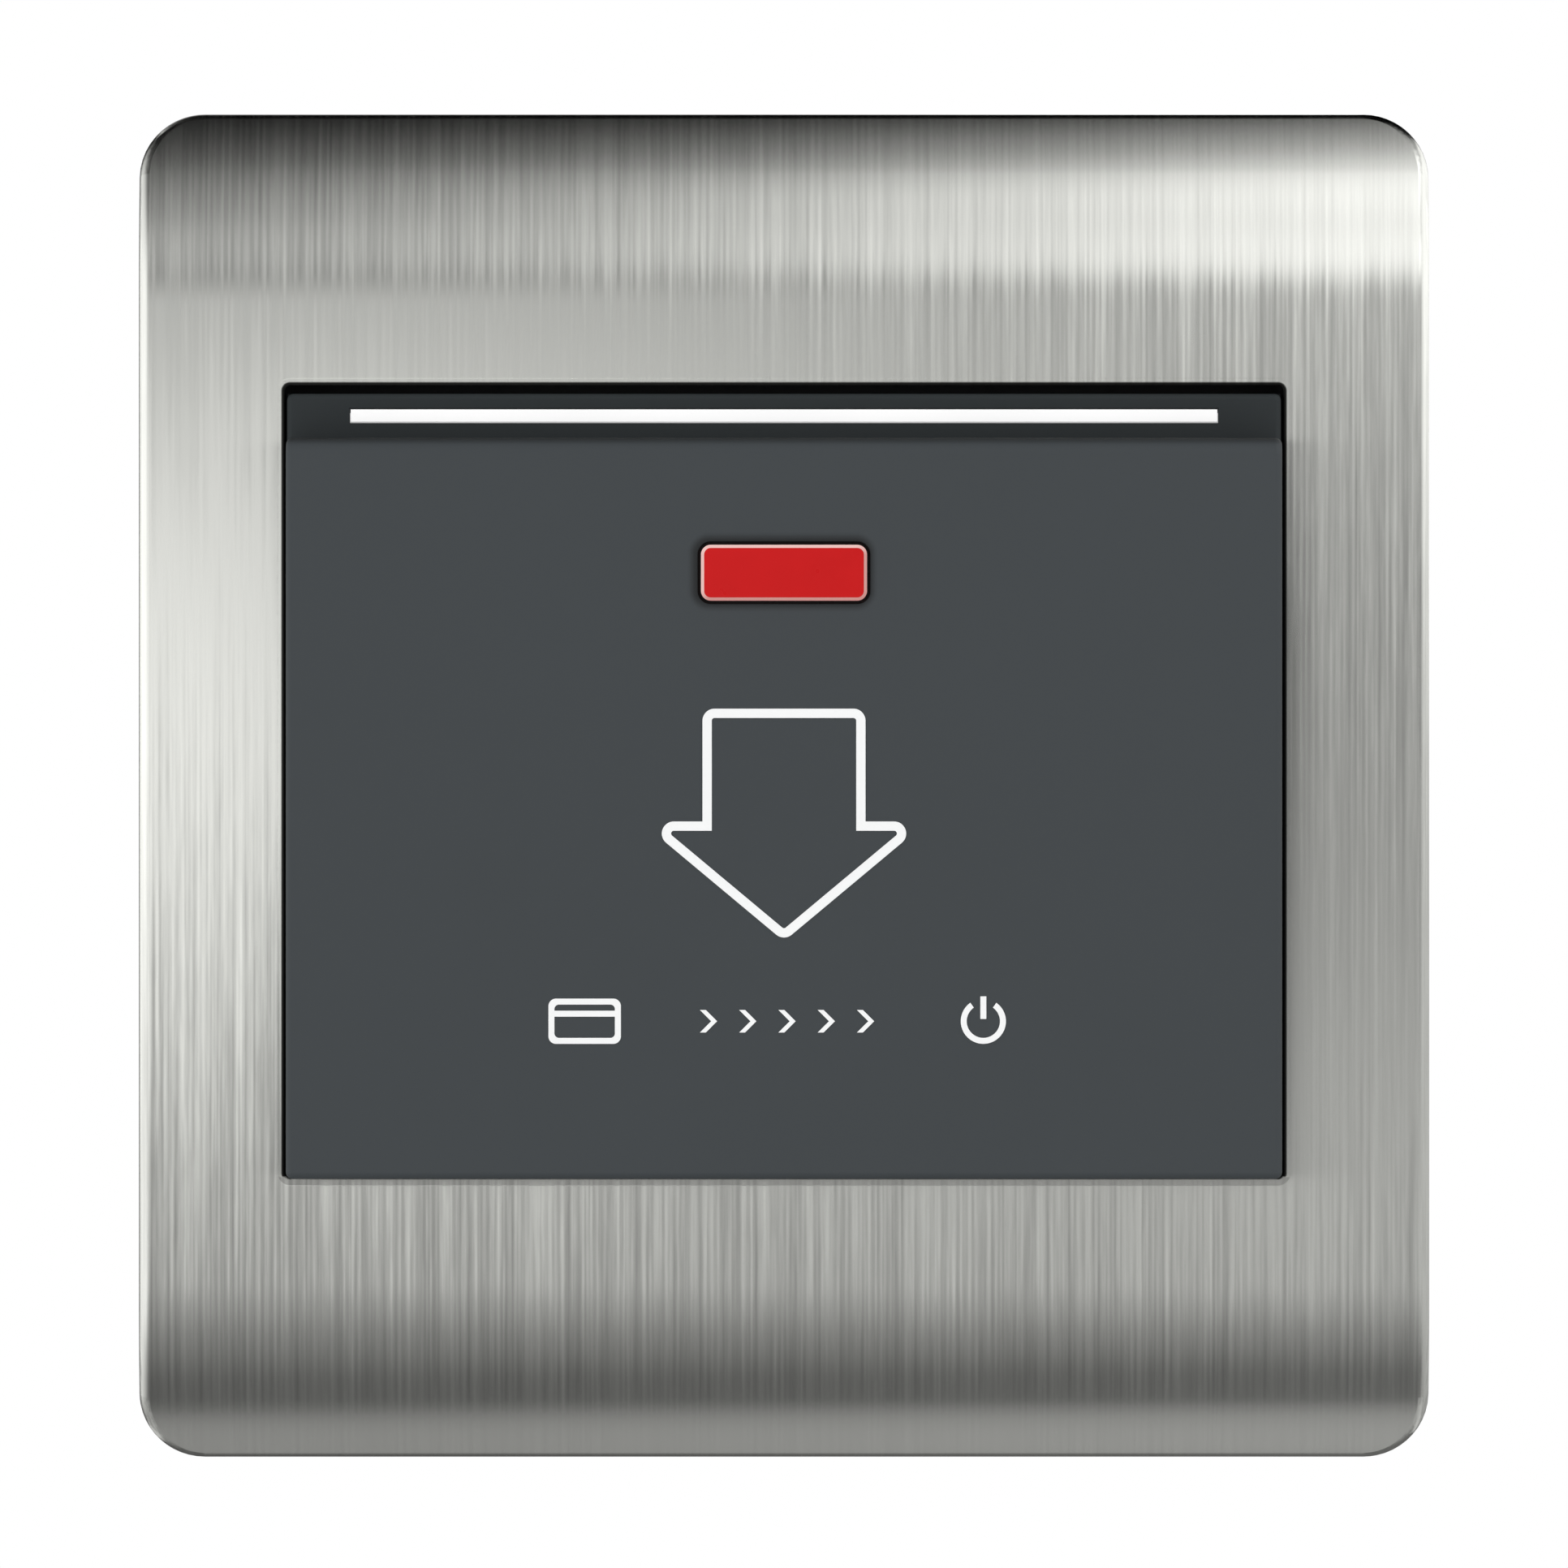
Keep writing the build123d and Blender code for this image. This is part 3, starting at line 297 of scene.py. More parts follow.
def makeMetalGroup():
    # Plated or rolled metal: a cloudy tone, fine scratches and a slight dullness in places
    group, given, result = newGroup(
        "plainMetal",
        {
            "Place": ("vector", None),
            "Color": ("color", (0.6, 0.6, 0.6, 1)),
            "Cloud": ("value", 0.15),
            "Roughness": ("value", 0.3),
            "Grain": ("value", 3000.0),
            "Depth": ("value", 0.1),
        },
        {"Color": "color", "Roughness": "value", "Normal": "vector"},
    )
    values = metalValues
    cloud = noiseNode(group, given["Place"], values["cloudScale"], values["cloudDetail"])
    grain = noiseNode(group, given["Place"], given["Grain"])
    factor = plus(group, times(group, minus(group, cloud, 0.5), given["Cloud"]), 1.0)
    group.links.new(scaleColor(group, given["Color"], factor), result["Color"])
    dull = plus(group, times(group, cloud, values["cloudDullness"]), values["dullness"])
    group.links.new(times(group, given["Roughness"], dull), result["Roughness"])
    settings = {"Strength": given["Depth"], "Distance": values["bump"] * mm, "Height": grain}
    group.links.new(addNode(group, "ShaderNodeBump", settings).outputs[0], result["Normal"])
    return group


mouldedGroup = makeMouldedGroup()
brushedGroup = makeBrushedGroup()
metalGroup = makeMetalGroup()

# What a finish has where its own values say nothing
plasticDefaults = {
    "drift": 0.06,
    "roughness": 0.45,
    "grain": 5000.0,
    "depth": 0.2,
    "edge": 0.1,
    "specular": 0.4,
}
metalDefaults = {"cloud": 0.15, "roughness": 0.3, "grain": 3000.0, "depth": 0.1}


def joinSurface(tree, shader, surface):
    for label, socket in (("Color", "Base Color"), ("Roughness", "Roughness"), ("Normal", "Normal")):
        tree.links.new(surface[label], shader.inputs[socket])


def mouldedPlastic(name, values):
    values = {**plasticDefaults, **values}
    material, tree, shader = newMaterial(name)
    surface = placeGroup(
        tree,
        mouldedGroup,
        {
            "Place": objectPlace(tree),
            "Color": (*values["color"], 1),
            "Drift": values["drift"],
            "Roughness": values["roughness"],
            "Grain": values["grain"],
            "Depth": values["depth"],
            "Edge": values["edge"] * mm,
        },
    )
    joinSurface(tree, shader, surface)
    shader.inputs["Specular IOR Level"].default_value = values["specular"]
    return material, tree, shader, surface


def plainMetal(name, values):
    values = {**metalDefaults, **values}
    material, tree, shader = newMaterial(name)
    surface = placeGroup(
        tree,
        metalGroup,
        {
            "Place": objectPlace(tree),
            "Color": (*values["color"], 1),
            "Cloud": values["cloud"],
            "Roughness": values["roughness"],
            "Grain": values["grain"],
            "Depth": values["depth"],
        },
    )
    joinSurface(tree, shader, surface)
    shader.inputs["Metallic"].default_value = 1.0
    return material, tree, shader, surface


def meshObject(name, shape):
    mesh = bpy.data.meshes.new(name)
    shape.to_mesh(mesh)
    shape.free()
    piece = bpy.data.objects.new(name, mesh)
    bpy.context.scene.collection.objects.link(piece)
    return piece


def paint(material, *nodes):
    for node in nodes:
        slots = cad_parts[node].material_slots
        if slots:
            for slot in slots:
                slot.material = material
        else:
            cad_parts[node].data.materials.append(material)


def paintPlastics(kinds):
    for name, values in kinds.items():
        paint(mouldedPlastic(name, values)[0], values["node"])


# Face trim: vertically brushed stainless steel

steelValues = {
    "color": (0.69, 0.695, 0.66),
    "contrast": 0.8,
    "roughness": 0.23,
    "anisotropy": 0.9,
    "across": 3500.0,
    "along": 30.0,
    "tilt": 0.1,
    "depth": 0.05,
    "lipTop": -41.6,
    "lipFade": 0.5,
    "lipPlain": 0.8,
    # Where the rolls start: height, the first facet's length and its lean, the roll's radius
    "rollStarts": ((33.8, 1.19, -0.0314, 19.193), (-34.8, -1.23, 0.038, -16.179)),
    "rollBlend": 2.0,
    # The window's rounded edge gets a flat shading normal, then painted shade darkens it almost to black,
    # and along its foot painted shade dims it only a little
    "window": ((0.0, 0.25), (33.75, 26.9), 0.85),
    "edgeFlat": (-0.05, 0.02),
    "edgeShadeBand": (-0.32, -0.2),
    "edgePaintedShade": 0.97,
    "edgeFoot": (-26.15, -26.0),
    "footPaintedShade": 0.3,
}


def rollStart(tree, height, start, length, lean, radius):
    # Takes the kink out of the shading where the flat turns into a roll
    away = minus(tree, height, start * mm)
    along = mathNode(tree, "DIVIDE", away, length * mm)
    inside = mathNode(tree, "GREATER_THAN", along, 0.0)
    left = mathNode(tree, "SUBTRACT", 1.0, along, clamp=True)
    facet = times(tree, times(tree, left, inside), lean)
    blend = steelValues["rollBlend"]
    near = mathNode(tree, "DIVIDE", mathNode(tree, "ABSOLUTE", away), blend * mm)
    near = mathNode(tree, "POWER", mathNode(tree, "SUBTRACT", 1.0, near, clamp=True), 2.0)
    return plus(tree, facet, times(tree, near, blend / (4 * radius)))


def brushedSteel():
    material, tree, shader = newMaterial("brushedSteel")
    place = objectPlace(tree)
    height = placeParts(tree, place)[2]
    normal = surfaceNormal(tree)
    outside = frameDistance(tree, place, *steelValues["window"])
    edge = rangeNode(tree, outside, *steelValues["edgeFlat"], 1.0, 0.0)
    facing = mixVector(tree, edge, normal, (0.0, -1.0, 0.0))
    level = plus(tree, *[rollStart(tree, height, *values) for values in steelValues["rollStarts"]])
    lipTop = steelValues["lipTop"] * mm
    lipFade = steelValues["lipFade"] * mm
    lip = rangeNode(tree, height, lipTop - lipFade, lipTop, steelValues["lipPlain"], 0.0)
    surface = placeGroup(
        tree,
        brushedGroup,
        {
            "Place": place,
            "Color": (*steelValues["color"], 1),
            "Contrast": steelValues["contrast"],
            "Roughness": steelValues["roughness"],
            "Across": steelValues["across"],
            "Along": steelValues["along"],
            "Tilt": steelValues["tilt"],
            "Depth": steelValues["depth"],
            "Plain": lip,
            "Level": level,
            "Facing": facing,
        },
    )
    joinSurface(tree, shader, surface)
    # Painted shade on the window's rounded edge: nearly black on the sides and top, a little darker along
    # its foot
    low, high = (limit * mm for limit in steelValues["edgeFoot"])
    atFoot = rangeNode(tree, height, low, high, 1.0, 0.0)
    paintedEdgeShade = rangeNode(tree, outside, *steelValues["edgeShadeBand"], steelValues["edgePaintedShade"], 0.0)
    paintedEdgeShade = times(tree, paintedEdgeShade, minus(tree, 1.0, atFoot))
    paintedFootShade = times(tree, times(tree, edge, atFoot), steelValues["footPaintedShade"])
    left = minus(tree, 1.0, mathNode(tree, "MAXIMUM", paintedEdgeShade, paintedFootShade))
    tree.links.new(scaleColor(tree, surface["Color"], left), shader.inputs["Base Color"])
    shader.inputs["Metallic"].default_value = 1.0
    shader.inputs["Anisotropic"].default_value = steelValues["anisotropy"]
    # Brushed along Z, so light spreads across: the tangent is level and lies in the surface
    across = vectorNode(tree, "CROSS_PRODUCT", (0.0, 0.0, 1.0), normal)
    least = (0.002, 0.0, 0.0)  # gives it a length on the top and bottom edges too
    tree.links.new(vectorNode(tree, "ADD", across, least), shader.inputs["Tangent"])
    return material


paint(brushedSteel(), "face_trim")

# Front cover and cassette: dark satin plastic

coverValues = {
    "color": (0.04, 0.0478, 0.053),
    "roughness": 0.42,
    "grain": 7000.0,
    "depth": 0.1,
    "specular": 0.35,
    "drift": 0.05,
    "lipTop": 23.25,
    "lipFade": 0.75,
    "lipPaintedShade": 0.12,
    "lens": ((-0.1, 14.15), (5.5, 1.85), 0.65),
    "lensShadow": (0.2, 0.85),
    "lensShadowTone": 0.3,
}
cassetteValues = {
    "color": (0.0208, 0.0264, 0.0288),
    "roughness": 0.45,
    "grain": 7000.0,
    "depth": 0.1,
    "specular": 0.3,
    "drift": 0.05,
}


def coverPlastic():
    material, tree, shader, surface = mouldedPlastic("coverPlastic", coverValues)
    # Painted shade over the rounded lip, and a painted shadow round the lens
    place = objectPlace(tree)
    top, fade = coverValues["lipTop"] * mm, coverValues["lipFade"] * mm
    lip = rangeNode(tree, placeParts(tree, place)[2], top - fade, top, 1.0, coverValues["lipPaintedShade"])
    beyondLens = frameDistance(tree, place, *coverValues["lens"])
    lensShadow = rangeNode(tree, beyondLens, *coverValues["lensShadow"], coverValues["lensShadowTone"], 1.0)
    color = scaleColor(tree, surface["Color"], times(tree, lip, lensShadow))
    tree.links.new(color, shader.inputs["Base Color"])
    return material


paint(coverPlastic(), "front_cover")
paint(mouldedPlastic("cassettePlastic", cassetteValues)[0], "card_cassette")

# White arrow and signs laid into the cover

legendValues = {
    "color": (0.93, 0.94, 0.94),
    "roughness": 0.5,
    "grain": 9000.0,
    "depth": 0.05,
    "drift": 0.03,
    "edge": 0.03,
}
paint(mouldedPlastic("legendWhite", legendValues)[0], "legend_inlay")

# Light strip: white diffuser, lit from behind

stripValues = {
    "color": (0.95, 0.95, 0.95),
    "roughness": 0.4,
    "depth": 0.05,
    "drift": 0.02,
    "edge": 0.03,
    "glow": 0.34,
    "lampPitch": 14.0,
    "glowDip": 0.03,
}


def stripDiffuser():
    material, tree, shader, surface = mouldedPlastic("stripDiffuser", stripValues)
    # A little brighter in front of each lamp
    x = placeParts(tree, objectPlace(tree))[0]
    turns = times(tree, x, 2 * math.pi / (stripValues["lampPitch"] * mm))
    dip = times(tree, plus(tree, mathNode(tree, "COSINE", turns), 1.0), stripValues["glowDip"])
    glow = scaleColor(tree, (1.0, 1.0, 1.0), minus(tree, 1.0, dip))
    tree.links.new(glow, shader.inputs["Emission Color"])
    shader.inputs["Emission Strength"].default_value = stripValues["glow"]
    return material


paint(stripDiffuser(), "light_strip")

# Indicator lens: red, with a painted highlight on its bevel

lensValues = {
    "face": (0.575, 0.002, 0.003),
    "bevelHighlight": (0.98, 0.64, 0.6),
    "bevelPaintedShade": (0.78, 0.36, 0.33),
    "side": (0.02, 0.002, 0.002),
    "skin": 0.02,
    "bevelDepth": 0.23,
    "bevelLight": (-0.5, 0.0, 0.8),
    "bevelSpread": 0.7,
    "cloudScale": 400.0,
    "cloudTone": 0.12,
    "lowTone": 0.94,
    "cloudDullness": 0.08,
    "roughness": 0.24,
    "specular": 0.2,
}


def redLens():
    material, tree, shader = newMaterial("redLens")
    place = objectPlace(tree)
    depth = placeParts(tree, place)[1]
    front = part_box("indicator_lens")[0][1]
    behindFace = mathNode(tree, "GREATER_THAN", depth, front + lensValues["skin"] * mm)
    behindBevel = mathNode(tree, "GREATER_THAN", depth, front + lensValues["bevelDepth"] * mm)
    cloud = noiseNode(tree, place, lensValues["cloudScale"])
    tone = plus(tree, times(tree, cloud, lensValues["cloudTone"]), lensValues["lowTone"])
    face = scaleColor(tree, lensValues["face"], tone)
    # Painted highlight: the bevel is palest above and on the left, with painted shade below and on the right
    settings = {0: surfaceNormal(tree), 1: lensValues["bevelLight"]}
    paintedLitSide = addNode(tree, "ShaderNodeVectorMath", settings, operation="DOT_PRODUCT").outputs["Value"]
    paintedLitSide = rangeNode(tree, paintedLitSide, -lensValues["bevelSpread"], lensValues["bevelSpread"])
    bevelHighlight = mixColor(tree, paintedLitSide, (*lensValues["bevelPaintedShade"], 1), (*lensValues["bevelHighlight"], 1))
    color = mixColor(tree, behindFace, face, bevelHighlight)
    color = mixColor(tree, behindBevel, color, (*lensValues["side"], 1))
    tree.links.new(color, shader.inputs["Base Color"])
    rough = plus(tree, times(tree, cloud, lensValues["cloudDullness"]), lensValues["roughness"])
    tree.links.new(rough, shader.inputs["Roughness"])
    shader.inputs["Specular IOR Level"].default_value = lensValues["specular"]
    return material


paint(redLens(), "indicator_lens")

# Frame behind the steel, wall carrier and rear housing

shellValues = {
    "backingPlastic": {
        "node": "trim_backing",
        "color": (0.16, 0.165, 0.17),
        "roughness": 0.5,
        "grain": 4500.0,
        "depth": 0.2,
    },
    "carrierPlastic": {
        "node": "mounting_carrier",
        "color": (0.03, 0.03, 0.033),
        "roughness": 0.5,
        "grain": 4500.0,
        "depth": 0.15,
        "drift": 0.08,
    },
    "housingPlastic": {
        "node": "rear_housing",
        "color": (0.03, 0.03, 0.032),
        "roughness": 0.5,
        "grain": 3500.0,
        "depth": 0.3,
        "drift": 0.1,
        "edge": 0.2,
    },
}
paintPlastics(shellValues)

# Screws, springs and contacts

screwFinish = {"color": (0.66, 0.66, 0.63), "roughness": 0.28, "cloud": 0.25, "depth": 0.15}
threadValues = {
    "housing": {
        "axes": ((-21.6, -21.6), (-21.6, 21.6), (21.6, -21.6), (21.6, 21.6)),
        "radius": 1.3,
        "pitch": 1.0,
        "depth": 0.25,
    },
    "terminal": {
        "axes": ((-12.0, -18.0), (-4.0, -18.0), (4.0, -18.0), (12.0, -18.0)),
        "radius": 1.8,
        "pitch": 0.6,
        "depth": 0.25,
    },
}


def threadedSteel(kind):
    # Plated steel with a helical ridge round each shank
    material, tree, shader, surface = plainMetal(kind + "Screw", screwFinish)
    values = threadValues[kind]
    place = objectPlace(tree)
    rise = mathNode(tree, "DIVIDE", placeParts(tree, place)[1], values["pitch"] * mm)
    ridge = 0.0
    for middle in values["axes"]:
        beside, above, reach = axisDistance(tree, place, middle)
        near = mathNode(tree, "LESS_THAN", reach, values["radius"] * mm)
        turn = mathNode(tree, "DIVIDE", mathNode(tree, "ARCTAN2", above, beside), 2 * math.pi)
        wave = mathNode(tree, "PINGPONG", plus(tree, rise, turn), 0.5)
        ridge = plus(tree, times(tree, wave, near), ridge)
    shank = minus(tree, 1.0, towards(tree, 1, 0.5))
    bump = bumpNode(tree, shank, 2 * values["depth"], ridge, surface["Normal"])
    tree.links.new(bump, shader.inputs["Normal"])
    return material


fixingValues = {
    "axes": (-30.15, 30.15),
    "crest": 1.75,
    "core": 1.43,
    "pitch": 0.7,
    "land": 0.04,
    "stepsPerTurn": 28,
    "sharpFrom": 30,
}


def fixingScrews(material):
    # The shank is turned down to its core, and a helical ridge is wound round it
    mesh = bmesh.new()
    mesh.from_mesh(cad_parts["fixing_screws"].data)
    bmesh.ops.remove_doubles(mesh, verts=mesh.verts[:], dist=1e-6)
    crest, core, pitch, land = (fixingValues[key] * mm for key in ("crest", "core", "pitch", "land"))
    for across in fixingValues["axes"]:
        axis = Vector((across * mm, 0, 0))
        shank = []
        for vert in mesh.verts:
            reach = math.hypot(vert.co.x - axis.x, vert.co.z)
            if vert.co.y > 0 and abs(reach - crest) < land:
                shank.append(vert)
        first = min(vert.co.y for vert in shank)
        last = max(vert.co.y for vert in shank)
        slim = (core / crest, 1, core / crest)
        bmesh.ops.scale(mesh, verts=shank, vec=slim, space=Matrix.Translation(-axis))
        turns = (last - first - pitch - land) / pitch
        steps = round(turns * fixingValues["stepsPerTurn"])
        profile = []
        for reach, along in ((core - land, land), (crest, pitch / 2), (core - land, pitch - land)):
            profile.append(mesh.verts.new(axis + Vector((reach, first + along, 0))))
        ring = [mesh.edges.new((profile[side - 1], profile[side])) for side in range(3)]
        bmesh.ops.spin(
            mesh,
            geom=profile + ring,
            cent=axis,
            axis=(0, 1, 0),
            dvec=(0, turns * pitch / steps, 0),
            angle=turns * 2 * math.pi,
            steps=steps,
            use_merge=False,
            use_duplicate=False,
        )
    bmesh.ops.holes_fill(mesh, edges=[edge for edge in mesh.edges if edge.is_boundary], sides=0)
    bmesh.ops.recalc_face_normals(mesh, faces=mesh.faces[:])
    for face in mesh.faces:
        face.smooth = True
    for edge in mesh.edges:
        edge.smooth = edge.calc_face_angle(0) < math.radians(fixingValues["sharpFrom"])
    piece = meshObject("wall_screws", mesh)
    piece.data.materials.append(material)
    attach(piece, "base")
    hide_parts("fixing_screws")
    print("wall screws:", len(piece.data.polygons), "faces")


fixingSteel = plainMetal("fixingScrew", screwFinish)[0]
paint(fixingSteel, "fixing_screws")
paint(threadedSteel("housing"), "housing_screws")
numbers = (1, 2, 3, 4)
paint(threadedSteel("terminal"), *[f"terminal_screw_{number}" for number in numbers])
clampFinish = {"color": (0.7, 0.55, 0.28), "roughness": 0.33, "cloud": 0.35, "depth": 0.2}
paint(plainMetal("clampBrass", clampFinish)[0], *[f"terminal_clamp_{number}" for number in numbers])

springFinish = {"color": (0.5, 0.5, 0.5), "roughness": 0.25, "cloud": 0.2}
springSteel = plainMetal("springSteel", springFinish)[0]
springValues = {
    "wire": 0.2,
    "wireSides": 12,
    "activeTurns": 4.5,
    "closedTurns": 1.0,
    "closedPitch": 0.42,
    "travel": 3.0,
    "stepsPerTurn": 32,
}


def returnSpring():
    # Wound in three runs: a closed end, the open turns, and the other closed end
    low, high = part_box("actuator_spring")
    wire = springValues["wire"] * mm
    middle = Vector(((low[0] + high[0]) / 2, (low[1] + high[1]) / 2, low[2] + wire))
    radius = (high[0] - low[0]) / 2 - wire
    closedRise = springValues["closedPitch"] * mm * springValues["closedTurns"]
    openRise = high[2] - low[2] - 2 * wire - 2 * closedRise
    runs = (
        (springValues["closedTurns"], closedRise),
        (springValues["activeTurns"], openRise),
        (springValues["closedTurns"], closedRise),
    )
    mesh = bmesh.new()
    start = Matrix.Translation(middle + Vector((radius, 0, 0))) @ Matrix.Rotation(math.pi / 2, 4, "X")
    bmesh.ops.create_circle(mesh, segments=springValues["wireSides"], radius=wire, matrix=start)
    wound = mesh.verts[:] + mesh.edges[:]
    for turns, rise in runs:
        steps = round(turns * springValues["stepsPerTurn"])
        wound = bmesh.ops.spin(
            mesh,
            geom=wound,
            cent=middle,
            axis=(0, 0, 1),
            dvec=(0, 0, rise / steps),
            angle=turns * 2 * math.pi,
            steps=steps,
            use_merge=False,
            use_duplicate=False,
        )["geom_last"]
    bmesh.ops.remove_doubles(mesh, verts=mesh.verts[:], dist=1e-7)
    bmesh.ops.holes_fill(mesh, edges=[edge for edge in mesh.edges if edge.is_boundary], sides=0)
    bmesh.ops.recalc_face_normals(mesh, faces=mesh.faces[:])
    for face in mesh.faces:
        face.smooth = len(face.verts) == 4
    piece = meshObject("return_spring", mesh)
    piece.data.materials.append(springSteel)
    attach(piece, "base")
    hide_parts("actuator_spring")
    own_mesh(piece)
    print("return spring:", len(piece.data.polygons), "faces")


returnSpring()
fixingScrews(fixingSteel)
paint(springSteel, "actuator_spring", "microswitch_lever")
contactFinish = {"color": (0.75, 0.6, 0.36), "roughness": 0.3, "cloud": 0.3}
contactMetal = plainMetal("contactMetal", contactFinish)[0]
paint(contactMetal, "contact_bars", "microswitch_terminals", "strip_header_pins")

# Card actuator, microswitch and terminal block

switchValues = {
    "actuatorPlastic": {
        "node": "card_actuator",
        "color": (0.78, 0.78, 0.75),
        "roughness": 0.35,
        "depth": 0.05,
    },
    "switchCase": {"node": "microswitch_body", "color": (0.03, 0.03, 0.033), "roughness": 0.45},
    "plungerPlastic": {"node": "microswitch_plunger", "color": (0.5, 0.03, 0.03), "roughness": 0.4},
    "terminalPlastic": {"node": "terminal_block", "color": (0.2, 0.24, 0.24), "roughness": 0.5},
}
paintPlastics(switchValues)

# Boards and what they carry

boardValues = {
    "color": (0.02, 0.17, 0.07),
    "roughness": 0.3,
    "depth": 0.08,
    "edge": 0.05,
    "cut": (0.42, 0.38, 0.16),
    # Copper runs: length, width, gap and how many there are
    "runLength": 9.3,
    "runWidth": 0.85,
    "runGap": 0.14,
    "runShare": 0.1,
    "runEdge": (0.2, 0.7),
    "patchScale": 90.0,
    "maskTone": 0.55,
    # Pads: pitch, then the pad and its hole as a share of the pitch
    "padPitch": 2.54,
    "padReach": 0.26,
    "holeReach": 0.12,
    "padShare": 0.2,
}
solderTin = (0.62, 0.62, 0.6)


def copperRuns(tree, along, beside):
    # Long strips side by side, each one either copper or bare laminate
    settings = {
        "Vector": addNode(tree, "ShaderNodeCombineXYZ", {0: along, 1: beside}).outputs[0],
        "Color1": (1, 1, 1, 1),
        "Color2": (0, 0, 0, 1),
        "Mortar": (0, 0, 0, 1),
        "Scale": 1 / mm,
        "Mortar Size": boardValues["runGap"],
        "Bias": boardValues["runShare"],
        "Brick Width": boardValues["runLength"],
        "Row Height": boardValues["runWidth"],
    }
    return placeParts(tree, addNode(tree, "ShaderNodeTexBrick", settings).outputs["Color"])[0]


def boardLaminate():
    material, tree, shader, surface = mouldedPlastic("boardLaminate", boardValues)
    parts = placeParts(tree, objectPlace(tree))
    x, z = parts[0], parts[2]
    flat = addNode(tree, "ShaderNodeCombineXYZ", {0: x, 1: z}).outputs[0]
    # Copper runs under the green mask, bare tinned pads, and the cut edge of the laminate
    patches = mathNode(tree, "GREATER_THAN", noiseNode(tree, flat, boardValues["patchScale"]), 0.5)
    copper = plus(tree, times(tree, copperRuns(tree, x, z), patches), copperRuns(tree, z, x))
    copper = rangeNode(tree, copper, *boardValues["runEdge"], boardValues["maskTone"], 1.0)
    masked = scaleColor(tree, surface["Color"], copper)
    settings = {"Vector": flat, "Scale": 1 / (boardValues["padPitch"] * mm), "Randomness": 0.0}
    cells = addNode(tree, "ShaderNodeTexVoronoi", settings).outputs
    pad = mathNode(tree, "LESS_THAN", cells["Distance"], boardValues["padReach"])
    hole = mathNode(tree, "GREATER_THAN", cells["Distance"], boardValues["holeReach"])
    chosen = placeParts(tree, cells["Color"])[0]
    chosen = mathNode(tree, "GREATER_THAN", chosen, 1.0 - boardValues["padShare"])
    face = towards(tree, 1)
    pad = times(tree, times(tree, pad, chosen), face)
    color = mixColor(tree, face, (*boardValues["cut"], 1), masked)
    color = mixColor(tree, pad, color, scaleColor(tree, solderTin, hole))
    tree.links.new(color, shader.inputs["Base Color"])
    tree.links.new(times(tree, pad, hole), shader.inputs["Metallic"])
    return material


sleeveValues = {
    "color": (0.02, 0.03, 0.06),
    "roughness": 0.3,
    "depth": 0.05,
    "middle": (7.0, 4.0),
    "bare": 3.3,
    "aluminium": (0.7, 0.7, 0.7),
    "score": (0.05, 0.15),
    "scoreTone": 0.35,
    "stripe": (0.6, 0.62, 0.62),
    "stripeTurn": 1.2,
    "stripeHalf": 0.42,
}


def sleeveMaterial():
    # Shrunk sleeve with a pale stripe, open at the end over bare aluminium with a scored cross
    material, tree, shader, surface = mouldedPlastic("capacitorSleeve", sleeveValues)
    beside, above, reach = axisDistance(tree, objectPlace(tree), sleeveValues["middle"])
    turn = minus(tree, mathNode(tree, "ARCTAN2", above, beside), sleeveValues["stripeTurn"])
    turn = mathNode(tree, "ABSOLUTE", turn)
    stripe = mathNode(tree, "LESS_THAN", turn, sleeveValues["stripeHalf"])
    within = mathNode(tree, "LESS_THAN", reach, sleeveValues["bare"] * mm)
    bare = times(tree, towards(tree, 1), within)
    beside = mathNode(tree, "ABSOLUTE", beside)
    scored = mathNode(tree, "MINIMUM", beside, mathNode(tree, "ABSOLUTE", above))
    low, high = (limit * mm for limit in sleeveValues["score"])
    scored = rangeNode(tree, scored, low, high, sleeveValues["scoreTone"], 1.0)
    color = mixColor(tree, stripe, surface["Color"], (*sleeveValues["stripe"], 1))
    color = mixColor(tree, bare, color, scaleColor(tree, sleeveValues["aluminium"], scored))
    tree.links.new(color, shader.inputs["Base Color"])
    tree.links.new(bare, shader.inputs["Metallic"])
    return material


componentValues = {
    "color": (0.02, 0.02, 0.022),
    "roughness": 0.5,
    # The resistors stand left of the middle, at one height
    "resistorHeight": 9.0,
    "resistorBody": 1.15,
    "dot": ((12.3, 13.2), (0.35, 0.35), 0.35),
    "dotColor": (0.3, 0.3, 0.3),
}


def componentMaterial():
    # Black bodies, tinned ends on the resistors and a dot on the chip
    material, tree, shader, surface = mouldedPlastic("componentCase", componentValues)
    place = objectPlace(tree)
    parts = placeParts(tree, place)
    onLeft = mathNode(tree, "LESS_THAN", parts[0], 0.0)
    away = mathNode(tree, "ABSOLUTE", minus(tree, parts[2], componentValues["resistorHeight"] * mm))
    ends = mathNode(tree, "GREATER_THAN", away, componentValues["resistorBody"] * mm)
    tinned = times(tree, onLeft, ends)
    dot = mathNode(tree, "LESS_THAN", frameDistance(tree, place, *componentValues["dot"]), 0.0)
    color = mixColor(tree, dot, surface["Color"], (*componentValues["dotColor"], 1))
    color = mixColor(tree, tinned, color, (*solderTin, 1))
    tree.links.new(color, shader.inputs["Base Color"])
    tree.links.new(tinned, shader.inputs["Metallic"])
    return material


lampValues = {
    "color": (0.85, 0.85, 0.82),
    "roughness": 0.35,
    "depth": 0.05,
    "phosphor": (0.85, 0.62, 0.05),
    "well": 0.55,
    "body": 1.35,
}
lampRows = {
    "stripLamp": {"node": "strip_leds", "pitch": 14.0, "height": 23.79},
    "indicatorLamp": {"node": "indicator_led", "pitch": 3.6, "height": 14.1},
}


